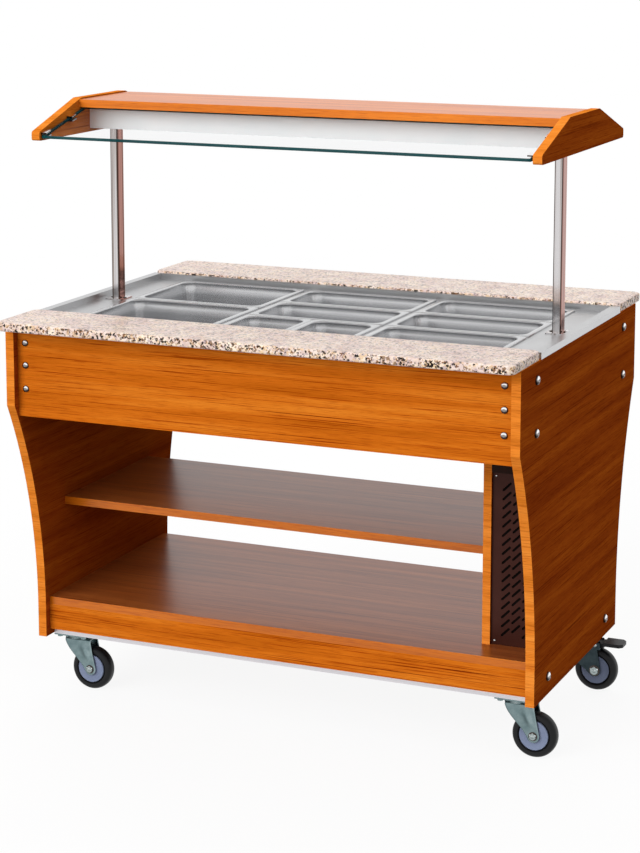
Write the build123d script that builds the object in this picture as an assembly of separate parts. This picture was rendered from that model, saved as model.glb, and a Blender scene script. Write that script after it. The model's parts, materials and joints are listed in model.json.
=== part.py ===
from build123d import *
import math
import os

os.makedirs("parts", exist_ok=True)

# Heated buffet cart. Millimetres. The floor is Z = 0, +X is to the right,
# the front faces -Y and the origin lies on the floor under the middle of the body.

# Body
PANEL_THICKNESS = 20
FOOT_DEPTH = 606  # side panel at its foot
FOOT_RISE = 70  # straight part of the panel's edge above its foot
KINK_DROP = 175  # from the panel's top edge down to the kink
COUNTER_HEIGHT = 895  # floor to the top of the stone slabs
PANEL_LIFT = 2  # panel's lower edge above the chassis frame's
BOARD = 18  # thickness of the horizontal boards, fascias and divider
FASCIA_HEIGHT = 200
FASCIA_SETBACK = 18
PLINTH_SETBACK = 18
FLOOR_HEIGHT = 226  # floor to the top of the lower board
PLINTH_HEIGHT = 59
SHELF_DEPTH = 415
SHELF_HEIGHT = 443  # floor to the top of the shelf
COMPARTMENT_WIDTH = 112  # between the divider and the right panel
HEADER_HEIGHT = 111

# Stone slabs
SLAB_THICKNESS = 20
SLAB_DEPTH = 177
SLAB_OVERHANG = 47
SLAB_CORNER = 18
SLAB_EDGE_R = 4  # rounded upper and lower edges

# Corner brackets and chassis frame
BRACKET_X_LEG = 40
BRACKET_Y_LEG = 80
BRACKET_HEIGHT = 175
BRACKET_SHEET = 3
FRAME_FLANGE = 30
FRAME_WALL = 3

# Screws of the body
SCREW_HEAD_R = 7.5
SCREW_HEAD_HEIGHT = 5
SCREW_DOME_R = 3  # rounded edge of a head
FASCIA_SCREW_INSET = 19  # from the side panel's inner face
FASCIA_SCREW_DROP = 35  # from the deck to the first screw
FASCIA_SCREW_PITCH = 50
FASCIA_SCREW_ROWS = 3
PANEL_SCREW_INSET = 84  # from the fascia's outer face
PANEL_SCREW_DROP = 37
PANEL_SCREW_PITCH = 111
PANEL_SCREW_ROWS = 2
FOOT_SCREW_INSET = 54  # from the chassis frame's outer face
FOOT_SCREW_RISE = 43  # above the chassis frame's lower face

# Grille and control panel
GRILLE_SHEET = 2
GRILLE_RETURN = 12
GRILLE_RECESS = 6
GRILLE_GAP = 0.5
SLOT_LENGTH = 27
SLOT_WIDTH = 5
SLOT_ANGLE = 45
SLOT_PITCH_X = 23.5
SLOT_PITCH_Z = 20
SLOT_COLUMNS = 3
SLOT_ROWS = 17
LOW_SLOT_ROWS = 3  # rows of slots at the foot of the control panel
LOW_SLOT_RISE = 95  # from the control panel's lower edge to the middle of those rows

# Controls
THERMOSTAT_DROP = 84  # from the control panel's upper edge
SWITCH_DROP = 164
SWITCH_PITCH = 38
KNOB_R = 22
KNOB_DEPTH = 15
KNOB_SKIRT = 5  # depth of the skirt behind the finger bar
KNOB_TAPER = 10
KNOB_BAR_WIDTH = 8.8
KNOB_BAR_INSET = 5  # from the skirt's edge
KNOB_GAP = 0.6
SPINDLE_R = 3
SPINDLE_LENGTH = 14
SPINDLE_FIT = 0.05
THERMOSTAT_SIZE = 40
THERMOSTAT_DEPTH = 26
SPINDLE_CLEARANCE = 2
SWITCH_WIDTH = 24
SWITCH_LENGTH = 33
SWITCH_BEZEL = 2.5
SWITCH_FRAME = 3.5  # wall around the rocker
SWITCH_DEPTH = 20
ROCKER_GAP = 0.4
ROCKER_TILT = 8
ROCKER_PIN_R = 1.5
ROCKER_PIN_FIT = 0.05
GLAND_BORE_R = 5
GLAND_R = 8
GLAND_NUT_R = 11
GLAND_NUT_HEIGHT = 6
GLAND_RISE = 13
HOLE_CLEARANCE = 0.3

# Heated well
DECK_SHEET = 1.5
DECK_MARGIN = 25  # from the pans to the stone slabs
WELL_MARGIN = 95.5  # from the pans to the side panels' outer faces
RIM_HEIGHT = 15  # deck's folded rims above the panels' top edge
SIDE_RIM = 20
LONG_RIM = 8
TANK_DROP = 158  # panels' top edge to the tank's underside
TANK_CORNER = 20
LEDGE_X = 4  # deck under the end flanges of the pans
LEDGE_Y = 10
BAR_HEIGHT = 15
BAR_SHEET = 2
BAR_CLEARANCE = 1.8
ADAPTOR_CLEARANCE = 0.8

# Food pans
PAN_LENGTH = 530  # full size, from front to back
PAN_WIDTH = 325
BAY_GAP = 12  # between the pans of neighbouring bays
PAN_DEPTH = 100
PAN_SHEET = 1.2
PAN_FLANGE = 12
PAN_LIP = 3.5
PAN_LIP_CORNER = 9
PAN_CORNER = 26
PAN_BOTTOM_R = 12
PAN_DRAFT = 5
PAN_GAP = 0.8
SEAT_GAP = 0.3

# Heating element
ELEMENT_R = 4.25
ELEMENT_RISE = 18
ELEMENT_BEND_R = 60
ELEMENT_INSET = 90
TERMINAL_LENGTH = 30
CARRIER_WIDTH = 12

# Canopy
CANOPY_HEIGHT = 1356
CANOPY_SETBACK = 3  # canopy ends inside the side panels' outer faces
CANOPY_END_DEPTH = 592
CANOPY_END_HEIGHT = 81
CANOPY_END_THICKNESS = 20
NOSE_HEIGHT = 20
RIDGE_DEPTH = 214
NOSE_FILLET = 6
RIDGE_FILLET = 12
TOP_BOARD_DEPTH = 230
TOP_BOARD_DROP = 3
POST_INSET = 55.5  # post's middle from the body's outer face
POST_WIDTH = 20
POST_DEPTH = 30
POST_CORNER = 3
POST_SHEET = 1.5
POST_FOOT_LENGTH = 44
POST_FOOT_DEPTH = 54
POST_FOOT_SHEET = 2
POST_SCREW_R = 4
POST_SCREW_HEIGHT = 3
HOUSING_DEPTH = 134
HOUSING_HEIGHT = 52
HOUSING_SHEET = 1.5
WINDOW_END_MARGIN = 72  # from the canopy ends
WINDOW_EDGE = 12  # from the housing's front and rear faces
DIFFUSER_LIP = 4
DIFFUSER_SHEET = 3
LAMP_WIDTH = 30
LAMP_HEIGHT = 22
LAMP_LENGTH = 900
GLASS_SHEET = 6
GLASS_SETBACK = 2  # lower edge behind the canopy ends' noses
GLASS_LOW_RISE = 11  # above the canopy ends' lower edge
GLASS_HOUSING_GAP = 28  # upper edge to the light housing
GLASS_HIGH_RISE = 56
GLASS_END_GAP = 4
CLIP_LENGTH = 20
CLIP_REACH = 14
CLIP_WALL = 3
CLIP_GAP = 0.3
CLIP_INSET = 16
CLIP_PITCH = 118

# Casters
NUT_SIDES = 6
WHEEL_R = 50
CROWN_CLEARANCE = 17  # from the tyre to the fork's crown
TREAD_WIDTH = 28
TREAD_FLAT = 16
TREAD_SHOULDER = 5
HUB_R = 36
HUB_WIDTH = 32
TYRE_FIT = 0.05
AXLE_R = 5
AXLE_FIT = 0.05
AXLE_HEAD_R = 9
AXLE_HEAD = 4
TRAIL = 40
CASTER_INSET = 40
FORK_SHEET = 3
FORK_GAP = 0.3
FORK_LEG_R = 14
FORK_CROWN_R = 29
FORK_FRONT = 24
FORK_REAR = 42
FORK_CHEEK = 9
FORK_LOBE_R = 22  # rounded front edge of a leg
FORK_LOBE_DROP = 26  # its middle below the crown's upper face
FORK_BEND_R = 6  # between the crown and the legs
PLATE_SIZE = 80
PLATE_SHEET = 3
PLATE_BOLT_SPACING = 60
PLATE_BOLT_R = 4
PLATE_BOLT_HEAD = 5
PLATE_BOLT_HEAD_R = 6.8
PLATE_BOLT_END = 3  # above the chassis frame's flange
RACE_R = 24
RACE_GAP = 0.3
RACE_HEIGHT = 9.7
KINGPIN_R = 6
KINGPIN_FIT = 0.05
KINGPIN_NUT_R = 9
KINGPIN_NUT_HEIGHT = 8
PEDAL_PIN_R = 3
PEDAL_PIN_FIT = 0.05
PEDAL_BOSS_R = 6
PEDAL_CROWN_GAP = 8  # from the crown's edge to the pedal's boss
PEDAL_RISE = 10  # pin above the top of the wheel
PEDAL_REACH = 65
PEDAL_WIDTH = 44
PEDAL_ARM = 20  # length of the narrow arm before the tread
PEDAL_SHEET = 5
PEDAL_LIFT = 3
PEDAL_CORNER = 8
SHOE_START = 8  # from the pedal's pin
SHOE_LENGTH = 10
SHOE_WIDTH = 20
SHOE_GAP = 2.5  # above the top of the wheel

# Places that several pieces share
BAY_PITCH = PAN_WIDTH + BAY_GAP
CART_WIDTH = 2 * BAY_PITCH + PAN_WIDTH + 2 * WELL_MARGIN
DECK_DEPTH = PAN_LENGTH + 2 * DECK_MARGIN
PANEL_DEPTH = DECK_DEPTH + 2 * (SLAB_DEPTH - SLAB_OVERHANG)
FLOOR_DEPTH = FOOT_DEPTH - 2 * PLINTH_SETBACK
CROWN_Z = 2 * WHEEL_R + CROWN_CLEARANCE + FORK_SHEET
PLATE_Z = CROWN_Z + RACE_GAP + RACE_HEIGHT
CASTER_HEIGHT = PLATE_Z + PLATE_SHEET
PANEL_X = CART_WIDTH / 2 - PANEL_THICKNESS
DECK_Z = COUNTER_HEIGHT - SLAB_THICKNESS
DECK_TOP = DECK_Z + DECK_SHEET
PANEL_Z = CASTER_HEIGHT + PANEL_LIFT
KINK_Z = DECK_Z - KINK_DROP
FASCIA_Y = PANEL_DEPTH / 2 - FASCIA_SETBACK
FLOOR_BOTTOM = FLOOR_HEIGHT - BOARD
FRAME_Y = FLOOR_DEPTH / 2 - BOARD
TANK_BOTTOM = DECK_Z - TANK_DROP
DIVIDER_X = PANEL_X - COMPARTMENT_WIDTH
HEADER_Z = TANK_BOTTOM - HEADER_HEIGHT
GRILLE_Y = SHELF_DEPTH / 2 - GRILLE_RECESS
GRILLE_X = (DIVIDER_X + PANEL_X) / 2
GRILLE_LOW = FLOOR_HEIGHT + GRILLE_GAP
GRILLE_HIGH = HEADER_Z - GRILLE_GAP
OPENING_X = BAY_PITCH + PAN_WIDTH / 2 - LEDGE_X
OPENING_Y = PAN_LENGTH / 2 - LEDGE_Y
PAN_TOP = DECK_TOP + SEAT_GAP + PAN_LIP
POST_X = CART_WIDTH / 2 - POST_INSET
CANOPY_X = CART_WIDTH / 2 - CANOPY_SETBACK - CANOPY_END_THICKNESS
CANOPY_Z = CANOPY_HEIGHT - CANOPY_END_HEIGHT
TOP_BOARD_Z = CANOPY_HEIGHT - TOP_BOARD_DROP - BOARD
HOUSING_Z = TOP_BOARD_Z - HOUSING_HEIGHT
SWIVEL_X = PANEL_X - CASTER_INSET
SWIVEL_Y = FRAME_Y - CASTER_INSET
WINDOW_X = CANOPY_X - WINDOW_END_MARGIN
WINDOW_Y = HOUSING_DEPTH / 2 - WINDOW_EDGE
LEG_Y = HUB_WIDTH / 2 + FORK_GAP
FORK_Y = LEG_Y + FORK_SHEET
PEDAL_Z = 2 * WHEEL_R + PEDAL_RISE


def block(x0, x1, y0, y1, z0, z1):
    """Box between two opposite corners."""
    return Pos((x0 + x1) / 2, (y0 + y1) / 2, (z0 + z1) / 2) * Box(abs(x1 - x0), abs(y1 - y0), abs(z1 - z0))


def rod(radius, start, end):
    """Cylinder between two points on a line that runs along X, Y or Z."""
    axis = Vector(*end) - Vector(*start)
    return extrude(Plane(origin=start, z_dir=axis) * Circle(radius), amount=axis.length)


def rounded_block(width, depth, corner, z0, z1):
    """Block about the Z axis with rounded upright edges."""
    return extrude(Pos(0, 0, z0) * RectangleRounded(width, depth, corner), amount=z1 - z0)


def save(node, *solids):
    """Write one node from the separate solids that it holds."""
    shapes = [solid for part in solids for solid in part.solids()]
    export_step(shapes[0] if len(shapes) == 1 else Compound(shapes), f"parts/{node}.step")


def both_sides(make):
    """The pieces that a function makes for the left (-1) and right (+1) or front and rear."""
    return [make(-1), make(1)]


def corners():
    """Signs of the four corners of the plan."""
    return [(side, end) for side in (-1, 1) for end in (-1, 1)]


# Wooden body


def side_panel(side):
    """Panel with a straight foot, a concave flank and an upright top part."""
    foot_y = FOOT_DEPTH / 2
    top_y = PANEL_DEPTH / 2
    foot = Line((foot_y, PANEL_Z), (foot_y, PANEL_Z + FOOT_RISE))
    flank = TangentArc((foot_y, PANEL_Z + FOOT_RISE), (top_y, KINK_Z), tangent=(0, 1))
    head = Polyline((top_y, KINK_Z), (top_y, DECK_Z), (0, DECK_Z))
    half = foot + flank + head
    outline = half + mirror(half, Plane.YZ) + Line((-foot_y, PANEL_Z), (foot_y, PANEL_Z))
    face = Plane.YZ.offset(side * PANEL_X) * make_face(outline.edges())
    return extrude(face, dir=(side, 0, 0), amount=PANEL_THICKNESS)


def fascia(end):
    """Board below the front or rear slab, set back between the side panels."""
    outer = end * FASCIA_Y
    return block(-PANEL_X, PANEL_X, outer, outer - end * BOARD, DECK_Z - FASCIA_HEIGHT, DECK_Z)


def plinth_board(end):
    """Board below the edge of the lower board."""
    outer = end * FLOOR_DEPTH / 2
    return block(-PANEL_X, PANEL_X, outer, outer - end * BOARD, FLOOR_BOTTOM - PLINTH_HEIGHT, FLOOR_BOTTOM)


def floor_board():
    """Lower board between the side panels."""
    return block(-PANEL_X, PANEL_X, -FLOOR_DEPTH / 2, FLOOR_DEPTH / 2, FLOOR_BOTTOM, FLOOR_HEIGHT)


def shelf():
    """Middle board between the left panel and the divider."""
    depth = SHELF_DEPTH / 2
    return block(-PANEL_X, DIVIDER_X - BOARD, -depth, depth, SHELF_HEIGHT - BOARD, SHELF_HEIGHT)


def divider():
    """Upright board that closes off the control compartment."""
    depth = SHELF_DEPTH / 2
    return block(DIVIDER_X - BOARD, DIVIDER_X, -depth, depth, FLOOR_HEIGHT, TANK_BOTTOM)


def compartment_header(end):
    """Board above the grille or the control panel."""
    outer = end * SHELF_DEPTH / 2
    return block(DIVIDER_X, PANEL_X, outer, outer - end * BOARD, HEADER_Z, TANK_BOTTOM)


def slab(end):
    """Stone tray slab with rounded corners and edges."""
    depth_y = end * (PANEL_DEPTH / 2 + SLAB_OVERHANG - SLAB_DEPTH / 2)
    stone = Pos(0, depth_y, 0) * rounded_block(CART_WIDTH, SLAB_DEPTH, SLAB_CORNER, DECK_Z, COUNTER_HEIGHT)
    rims = stone.faces().filter_by(Axis.Z).edges()
    return fillet(rims, SLAB_EDGE_R)


# Brackets, chassis frame and screws


def corner_bracket(side, end):
    """Steel angle that joins a fascia to a side panel and carries the slab's corner."""
    x = side * PANEL_X
    y = end * (FASCIA_Y - BOARD)
    z0 = DECK_Z - BRACKET_HEIGHT
    fascia_leg = block(x, x - side * BRACKET_X_LEG, y, y - end * BRACKET_SHEET, z0, DECK_Z)
    panel_leg = block(x, x - side * BRACKET_SHEET, y, y - end * BRACKET_Y_LEG, z0, DECK_Z)
    return fascia_leg + panel_leg


def chassis_frame():
    """Ring of aluminium angle with its flange turned in, and a gusset over each caster."""
    x, y = PANEL_X, FRAME_Y
    z0, z1 = CASTER_HEIGHT, FLOOR_BOTTOM
    web_x, web_y = x - FRAME_WALL, y - FRAME_WALL
    inner_x, inner_y = x - FRAME_FLANGE, y - FRAME_FLANGE
    ring = block(-x, x, -y, y, z0, z1)
    ring -= block(-web_x, web_x, -web_y, web_y, z0 + FRAME_WALL, z1)
    ring -= block(-inner_x, inner_x, -inner_y, inner_y, z0, z1)
    for side, end in corners():
        gusset_x = side * (x - PLATE_SIZE)
        gusset_y = end * (y - PLATE_SIZE)
        ring += block(side * x, gusset_x, end * y, gusset_y, z0, z0 + FRAME_WALL)
    for bolt_x, bolt_y in plate_bolts():
        ring -= rod(PLATE_BOLT_R + HOLE_CLEARANCE, (bolt_x, bolt_y, z0), (bolt_x, bolt_y, z0 + FRAME_WALL))
    return ring


def screw_head(x, y, z, direction):
    """Domed head that sits on a board, facing along the direction."""
    start = Vector(x, y, z)
    end = start + Vector(*direction) * SCREW_HEAD_HEIGHT
    head = rod(SCREW_HEAD_R, start, end)
    rims = head.edges().filter_by(GeomType.CIRCLE)
    rim = rims.sort_by_distance(end)[0]
    return fillet(rim, SCREW_DOME_R)


def fascia_screws(side, end):
    """Column of screws through a fascia into a corner bracket."""
    x = side * (PANEL_X - FASCIA_SCREW_INSET)
    rows = range(FASCIA_SCREW_ROWS)
    heights = [DECK_Z - FASCIA_SCREW_DROP - row * FASCIA_SCREW_PITCH for row in rows]
    return [screw_head(x, end * FASCIA_Y, z, (0, end, 0)) for z in heights]


def panel_screws(side, end):
    """Screws through a side panel into a corner bracket and into the chassis frame."""
    x = side * CART_WIDTH / 2
    y = end * (FASCIA_Y - PANEL_SCREW_INSET)
    rows = range(PANEL_SCREW_ROWS)
    heights = [DECK_Z - PANEL_SCREW_DROP - row * PANEL_SCREW_PITCH for row in rows]
    heads = [screw_head(x, y, z, (side, 0, 0)) for z in heights]
    foot_y = end * (FRAME_Y - FOOT_SCREW_INSET)
    foot = screw_head(x, foot_y, CASTER_HEIGHT + FOOT_SCREW_RISE, (side, 0, 0))
    return heads + [foot]


# Grille and control panel


def slots(rows):
    """Sketch of slanting slots in columns, with every second column staggered."""
    places = []
    for column in range(SLOT_COLUMNS):
        count = rows - column % 2
        for row in range(count):
            x = (column - (SLOT_COLUMNS - 1) / 2) * SLOT_PITCH_X
            z = (row - (count - 1) / 2) * SLOT_PITCH_Z
            places.append(Pos(x, z) * Rot(0, 0, SLOT_ANGLE))
    return Sketch() + [place * SlotOverall(SLOT_LENGTH, SLOT_WIDTH) for place in places]


def tray(end):
    """Sheet metal tray that fills the compartment's front or rear opening."""
    x0, x1 = DIVIDER_X + GRILLE_GAP, PANEL_X - GRILLE_GAP
    outer = end * GRILLE_Y
    inner = outer - end * GRILLE_SHEET
    back = outer - end * GRILLE_RETURN
    z0, z1 = GRILLE_LOW + GRILLE_SHEET, GRILLE_HIGH - GRILLE_SHEET
    shell = block(x0, x1, outer, back, GRILLE_LOW, GRILLE_HIGH)
    return shell - block(x0 + GRILLE_SHEET, x1 - GRILLE_SHEET, inner, back, z0, z1)


def through_sheet(end, z, sketch):
    """Cutter for the face of a tray, from a sketch about the height z."""
    plane = Plane(origin=(GRILLE_X, end * GRILLE_Y, z), x_dir=(1, 0, 0), z_dir=(0, -1, 0))
    return extrude(plane * sketch, amount=2 * GRILLE_SHEET, both=True)


def front_grille():
    """Slotted ventilation grille."""
    return tray(-1) - through_sheet(-1, (GRILLE_LOW + GRILLE_HIGH) / 2, slots(SLOT_ROWS))


def switch_places():
    """X positions of the two switches."""
    return [GRILLE_X - SWITCH_PITCH / 2, GRILLE_X + SWITCH_PITCH / 2]


def control_panel():
    """Rear panel with holes for the controls, the cable gland and a few slots."""
    panel = tray(1) - through_sheet(1, GRILLE_LOW + LOW_SLOT_RISE, slots(LOW_SLOT_ROWS))
    spindle = Circle(SPINDLE_R + SPINDLE_CLEARANCE)
    panel -= through_sheet(1, GRILLE_HIGH - THERMOSTAT_DROP, spindle)
    panel -= through_sheet(1, GRILLE_LOW + GLAND_RISE, Circle(GLAND_R + HOLE_CLEARANCE))
    width, length = switch_body_size()
    cutout = Rectangle(width + 2 * HOLE_CLEARANCE, length + 2 * HOLE_CLEARANCE)
    for x in switch_places():
        panel -= through_sheet(1, GRILLE_HIGH - SWITCH_DROP, Pos(x - GRILLE_X, 0) * cutout)
    return panel


def thermostat_body():
    """Thermostat behind the control panel, bored for the knob's spindle."""
    z = GRILLE_HIGH - THERMOSTAT_DROP
    face = GRILLE_Y - GRILLE_SHEET
    half = THERMOSTAT_SIZE / 2
    body = block(GRILLE_X - half, GRILLE_X + half, face, face - THERMOSTAT_DEPTH, z - half, z + half)
    bore_end = face - SPINDLE_LENGTH - SPINDLE_CLEARANCE
    return body - rod(SPINDLE_R + SPINDLE_FIT, (GRILLE_X, face, z), (GRILLE_X, bore_end, z))


def thermostat_knob():
    """Knob with a tapered skirt, a finger bar and its spindle."""
    z = GRILLE_HIGH - THERMOSTAT_DROP
    near = GRILLE_Y + KNOB_GAP
    skirt_plane = Plane(origin=(GRILLE_X, near, z), z_dir=(0, 1, 0))
    skirt = extrude(skirt_plane * Circle(KNOB_R), amount=KNOB_SKIRT, taper=KNOB_TAPER)
    x0, x1 = GRILLE_X - KNOB_BAR_WIDTH / 2, GRILLE_X + KNOB_BAR_WIDTH / 2
    reach = KNOB_R - KNOB_BAR_INSET
    grip = block(x0, x1, near, near + KNOB_DEPTH, z - reach, z + reach)
    spindle = rod(SPINDLE_R, (GRILLE_X, near, z), (GRILLE_X, GRILLE_Y - GRILLE_SHEET - SPINDLE_LENGTH, z))
    return skirt + grip + spindle


def switch_body_size():
    """Width and length of the part of a switch that passes through the panel."""
    return SWITCH_WIDTH - SWITCH_FRAME, SWITCH_LENGTH - SWITCH_FRAME


def rocker_size():
    """Width and length of a rocker."""
    width = SWITCH_WIDTH - 2 * (SWITCH_FRAME + ROCKER_GAP)
    length = SWITCH_LENGTH - 2 * (SWITCH_FRAME + ROCKER_GAP)
    return width, length


def rocker_pivot():
    """Depth and height of the rockers' pivot line."""
    return GRILLE_Y - GRILLE_SHEET, GRILLE_HIGH - SWITCH_DROP


def switch_body(x):
    """Switch housing with a bezel, a well for the rocker and holes for its pin."""
    y, z = rocker_pivot()
    width, length = (size / 2 for size in switch_body_size())
    front = GRILLE_Y + SWITCH_BEZEL
    bezel_x, bezel_z = SWITCH_WIDTH / 2, SWITCH_LENGTH / 2
    bezel = block(x - bezel_x, x + bezel_x, GRILLE_Y, front, z - bezel_z, z + bezel_z)
    housing = bezel + block(x - width, x + width, GRILLE_Y, GRILLE_Y - SWITCH_DEPTH, z - length, z + length)
    well_x, well_z = bezel_x - SWITCH_FRAME, bezel_z - SWITCH_FRAME
    housing -= block(x - well_x, x + well_x, front, y - SWITCH_DEPTH / 2, z - well_z, z + well_z)
    pin = ROCKER_PIN_R + ROCKER_PIN_FIT
    return housing - rod(pin, (x - width, y, z), (x + width, y, z))


def rocker(x):
    """Rocker with a shallow V face on a cross pin, resting on one side."""
    y, z = rocker_pivot()
    width, length = (size / 2 for size in rocker_size())
    front = GRILLE_SHEET + SWITCH_BEZEL
    fall = length * math.tan(math.radians(ROCKER_TILT))
    reach = length - ROCKER_GAP
    section = Polyline(
        (0, front),
        (reach, front + fall),
        (reach, 0),
        (2 * ROCKER_PIN_R, -2 * ROCKER_PIN_R),
        (-2 * ROCKER_PIN_R, -2 * ROCKER_PIN_R),
        (-reach, 0),
        (-reach, front + fall),
        close=True,
    )
    plane = Plane(origin=(x, y, z), x_dir=(0, 0, 1), z_dir=(-1, 0, 0))
    paddle = extrude(plane * make_face(section.edges()), amount=width, both=True)
    pin_reach = switch_body_size()[0] / 2
    paddle += rod(ROCKER_PIN_R, (x - pin_reach, y, z), (x + pin_reach, y, z))
    return paddle.rotate(Axis((x, y, z), (1, 0, 0)), -ROCKER_TILT)


def cable_gland():
    """Gland with a nut on each side of the control panel and a clear bore."""
    z = GRILLE_LOW + GLAND_RISE
    outside = GRILLE_Y + GLAND_NUT_HEIGHT
    inside = GRILLE_Y - GRILLE_SHEET - GLAND_NUT_HEIGHT
    gland = rod(GLAND_R, (GRILLE_X, inside, z), (GRILLE_X, outside, z))
    gland += rod(GLAND_NUT_R, (GRILLE_X, GRILLE_Y, z), (GRILLE_X, outside, z))
    gland += rod(GLAND_NUT_R, (GRILLE_X, inside, z), (GRILLE_X, GRILLE_Y - GRILLE_SHEET, z))
    return gland - rod(GLAND_BORE_R, (GRILLE_X, inside, z), (GRILLE_X, outside, z))


# Heated well


def rim_channel(x0, x1, y0, y1):
    """Outside and hollow of a folded rim that is open below."""
    top = DECK_Z + RIM_HEIGHT
    outside = block(x0, x1, y0, y1, DECK_Z, top)
    hollow = block(
        x0 + DECK_SHEET, x1 - DECK_SHEET, y0 + DECK_SHEET, y1 - DECK_SHEET, DECK_Z, top - DECK_SHEET
    )
    return outside, hollow


def well_tank():
    """Deck plate with folded rims and the tank that hangs below its opening."""
    half_x, half_y = CART_WIDTH / 2, DECK_DEPTH / 2
    deck = block(-half_x, half_x, -half_y, half_y, DECK_Z, DECK_TOP)
    channels = [
        rim_channel(-half_x, SIDE_RIM - half_x, -half_y, half_y),
        rim_channel(half_x - SIDE_RIM, half_x, -half_y, half_y),
        rim_channel(SIDE_RIM - half_x, half_x - SIDE_RIM, -half_y, LONG_RIM - half_y),
        rim_channel(SIDE_RIM - half_x, half_x - SIDE_RIM, half_y - LONG_RIM, half_y),
    ]
    width, depth = 2 * OPENING_X, 2 * OPENING_Y
    inner = rounded_block(width, depth, TANK_CORNER, TANK_BOTTOM + DECK_SHEET, DECK_TOP)
    wall = 2 * DECK_SHEET
    corner = TANK_CORNER + DECK_SHEET
    outer = rounded_block(width + wall, depth + wall, corner, TANK_BOTTOM, DECK_TOP)
    tank = deck + outer
    for outside, hollow in channels:
        tank += outside
    for outside, hollow in channels:
        tank -= hollow
    tank -= inner
    for y in element_lines():
        z = element_height()
        tank -= rod(ELEMENT_R + HOLE_CLEARANCE, (OPENING_X, y, z), (OPENING_X + DECK_SHEET, y, z))
    return tank


def bar(x, y, width, length, along_y):
    """Channel bar, open below, whose top lies level with the deck."""
    half_w, half_l = width / 2, length / 2
    z0 = DECK_TOP - BAR_HEIGHT
    outer = block(-half_w, half_w, -half_l, half_l, z0, DECK_TOP)
    inner_w = half_w - BAR_SHEET
    channel = outer - block(-inner_w, inner_w, -half_l, half_l, z0, DECK_TOP - BAR_SHEET)
    return Pos(x, y, 0) * Rot(0, 0, 0 if along_y else 90) * channel


def bar_width():
    """Width of a bar between two bays, clear of the walls of the pans."""
    return BAY_PITCH - PAN_WIDTH + 2 * (PAN_FLANGE - PAN_SHEET - BAR_CLEARANCE)


def cross_bars():
    """Bars between the bays, and one across the middle bay behind its split pans."""
    width = bar_width()
    between = [bar(side * BAY_PITCH / 2, 0, width, 2 * OPENING_Y, True) for side in (-1, 1)]
    adaptor_width = 2 * (PAN_FLANGE - PAN_SHEET - ADAPTOR_CLEARANCE)
    rows = row_centres(3)
    adaptor = bar(0, (rows[1] + rows[2]) / 2, adaptor_width, BAY_PITCH - width, False)
    return between + [adaptor]


def pan_bowl(width, depth, corner, height):
    """Drafted block below the flange, rounded at its corners and around its bottom."""
    section = RectangleRounded(width, depth, corner)
    bowl = extrude(section, dir=(0, 0, -1), amount=height, taper=PAN_DRAFT)
    return fillet(bowl.faces().sort_by(Axis.Z)[0].edges(), PAN_BOTTOM_R)


def pan(x, y, width, depth):
    """Drawn pan with a drafted wall and a flange whose lip turns down onto the deck."""
    outer_w, outer_d = width - PAN_GAP, depth - PAN_GAP
    open_w, open_d = width - 2 * PAN_FLANGE, depth - 2 * PAN_FLANGE
    sheet = 2 * PAN_SHEET
    lip = rounded_block(outer_w, outer_d, PAN_LIP_CORNER, -PAN_LIP, 0)
    lip_hollow = PAN_LIP_CORNER - PAN_SHEET
    lip -= rounded_block(outer_w - sheet, outer_d - sheet, lip_hollow, -PAN_LIP, -PAN_SHEET)
    body = lip + pan_bowl(open_w + sheet, open_d + sheet, PAN_CORNER + PAN_SHEET, PAN_DEPTH)
    body -= pan_bowl(open_w, open_d, PAN_CORNER, PAN_DEPTH - PAN_SHEET)
    return Pos(x, y, PAN_TOP) * body


def row_centres(rows):
    """Middles of equal rows that fill a bay, from the rear row to the front one."""
    depth = PAN_LENGTH / rows
    return [PAN_LENGTH / 2 - (row + 0.5) * depth for row in range(rows)]


def save_pan_bays():
    """Left bay of two pans, middle bay of two and a split pair, right bay of three."""
    for name, y in zip(("rear", "front"), row_centres(2)):
        save(f"pan_half_{name}", pan(-BAY_PITCH, y, PAN_WIDTH, PAN_LENGTH / 2))
    thirds = row_centres(3)
    for name, y in zip(("rear", "middle"), thirds):
        save(f"pan_third_{name}", pan(0, y, PAN_WIDTH, PAN_LENGTH / 3))
    for name, side in (("left", -1), ("right", 1)):
        save(f"pan_sixth_{name}", pan(side * PAN_WIDTH / 4, thirds[2], PAN_WIDTH / 2, PAN_LENGTH / 3))
    for name, y in zip(("rear", "middle", "front"), thirds):
        save(f"pan_end_{name}", pan(BAY_PITCH, y, PAN_WIDTH, PAN_LENGTH / 3))


def element_lines():
    """Y positions of the heating element's two runs."""
    return [-ELEMENT_BEND_R, ELEMENT_BEND_R]


def element_height():
    """Height of the heating element's middle line."""
    return TANK_BOTTOM + DECK_SHEET + ELEMENT_RISE


def heating_element():
    """Hairpin of tube whose ends pass through the tank's right wall, on two carriers."""
    near, far = element_lines()
    z = element_height()
    end_x = OPENING_X + DECK_SHEET + TERMINAL_LENGTH
    bend_x = ELEMENT_BEND_R + ELEMENT_INSET - OPENING_X
    out = Line((end_x, near, z), (bend_x, near, z))
    bend = ThreePointArc((bend_x, near, z), (bend_x - ELEMENT_BEND_R, 0, z), (bend_x, far, z))
    back = Line((bend_x, far, z), (end_x, far, z))
    section = Plane(origin=(end_x, near, z), z_dir=(-1, 0, 0)) * Circle(ELEMENT_R)
    tube = sweep(section, path=Wire((out + bend + back).edges()))
    reach = ELEMENT_BEND_R + CARRIER_WIDTH
    floor = TANK_BOTTOM + DECK_SHEET
    low = z - ELEMENT_R
    carriers = [
        block(x - CARRIER_WIDTH / 2, x + CARRIER_WIDTH / 2, -reach, reach, floor, low)
        for x in (-BAY_PITCH / 2, BAY_PITCH)
    ]
    return [tube] + carriers


# Canopy


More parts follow.
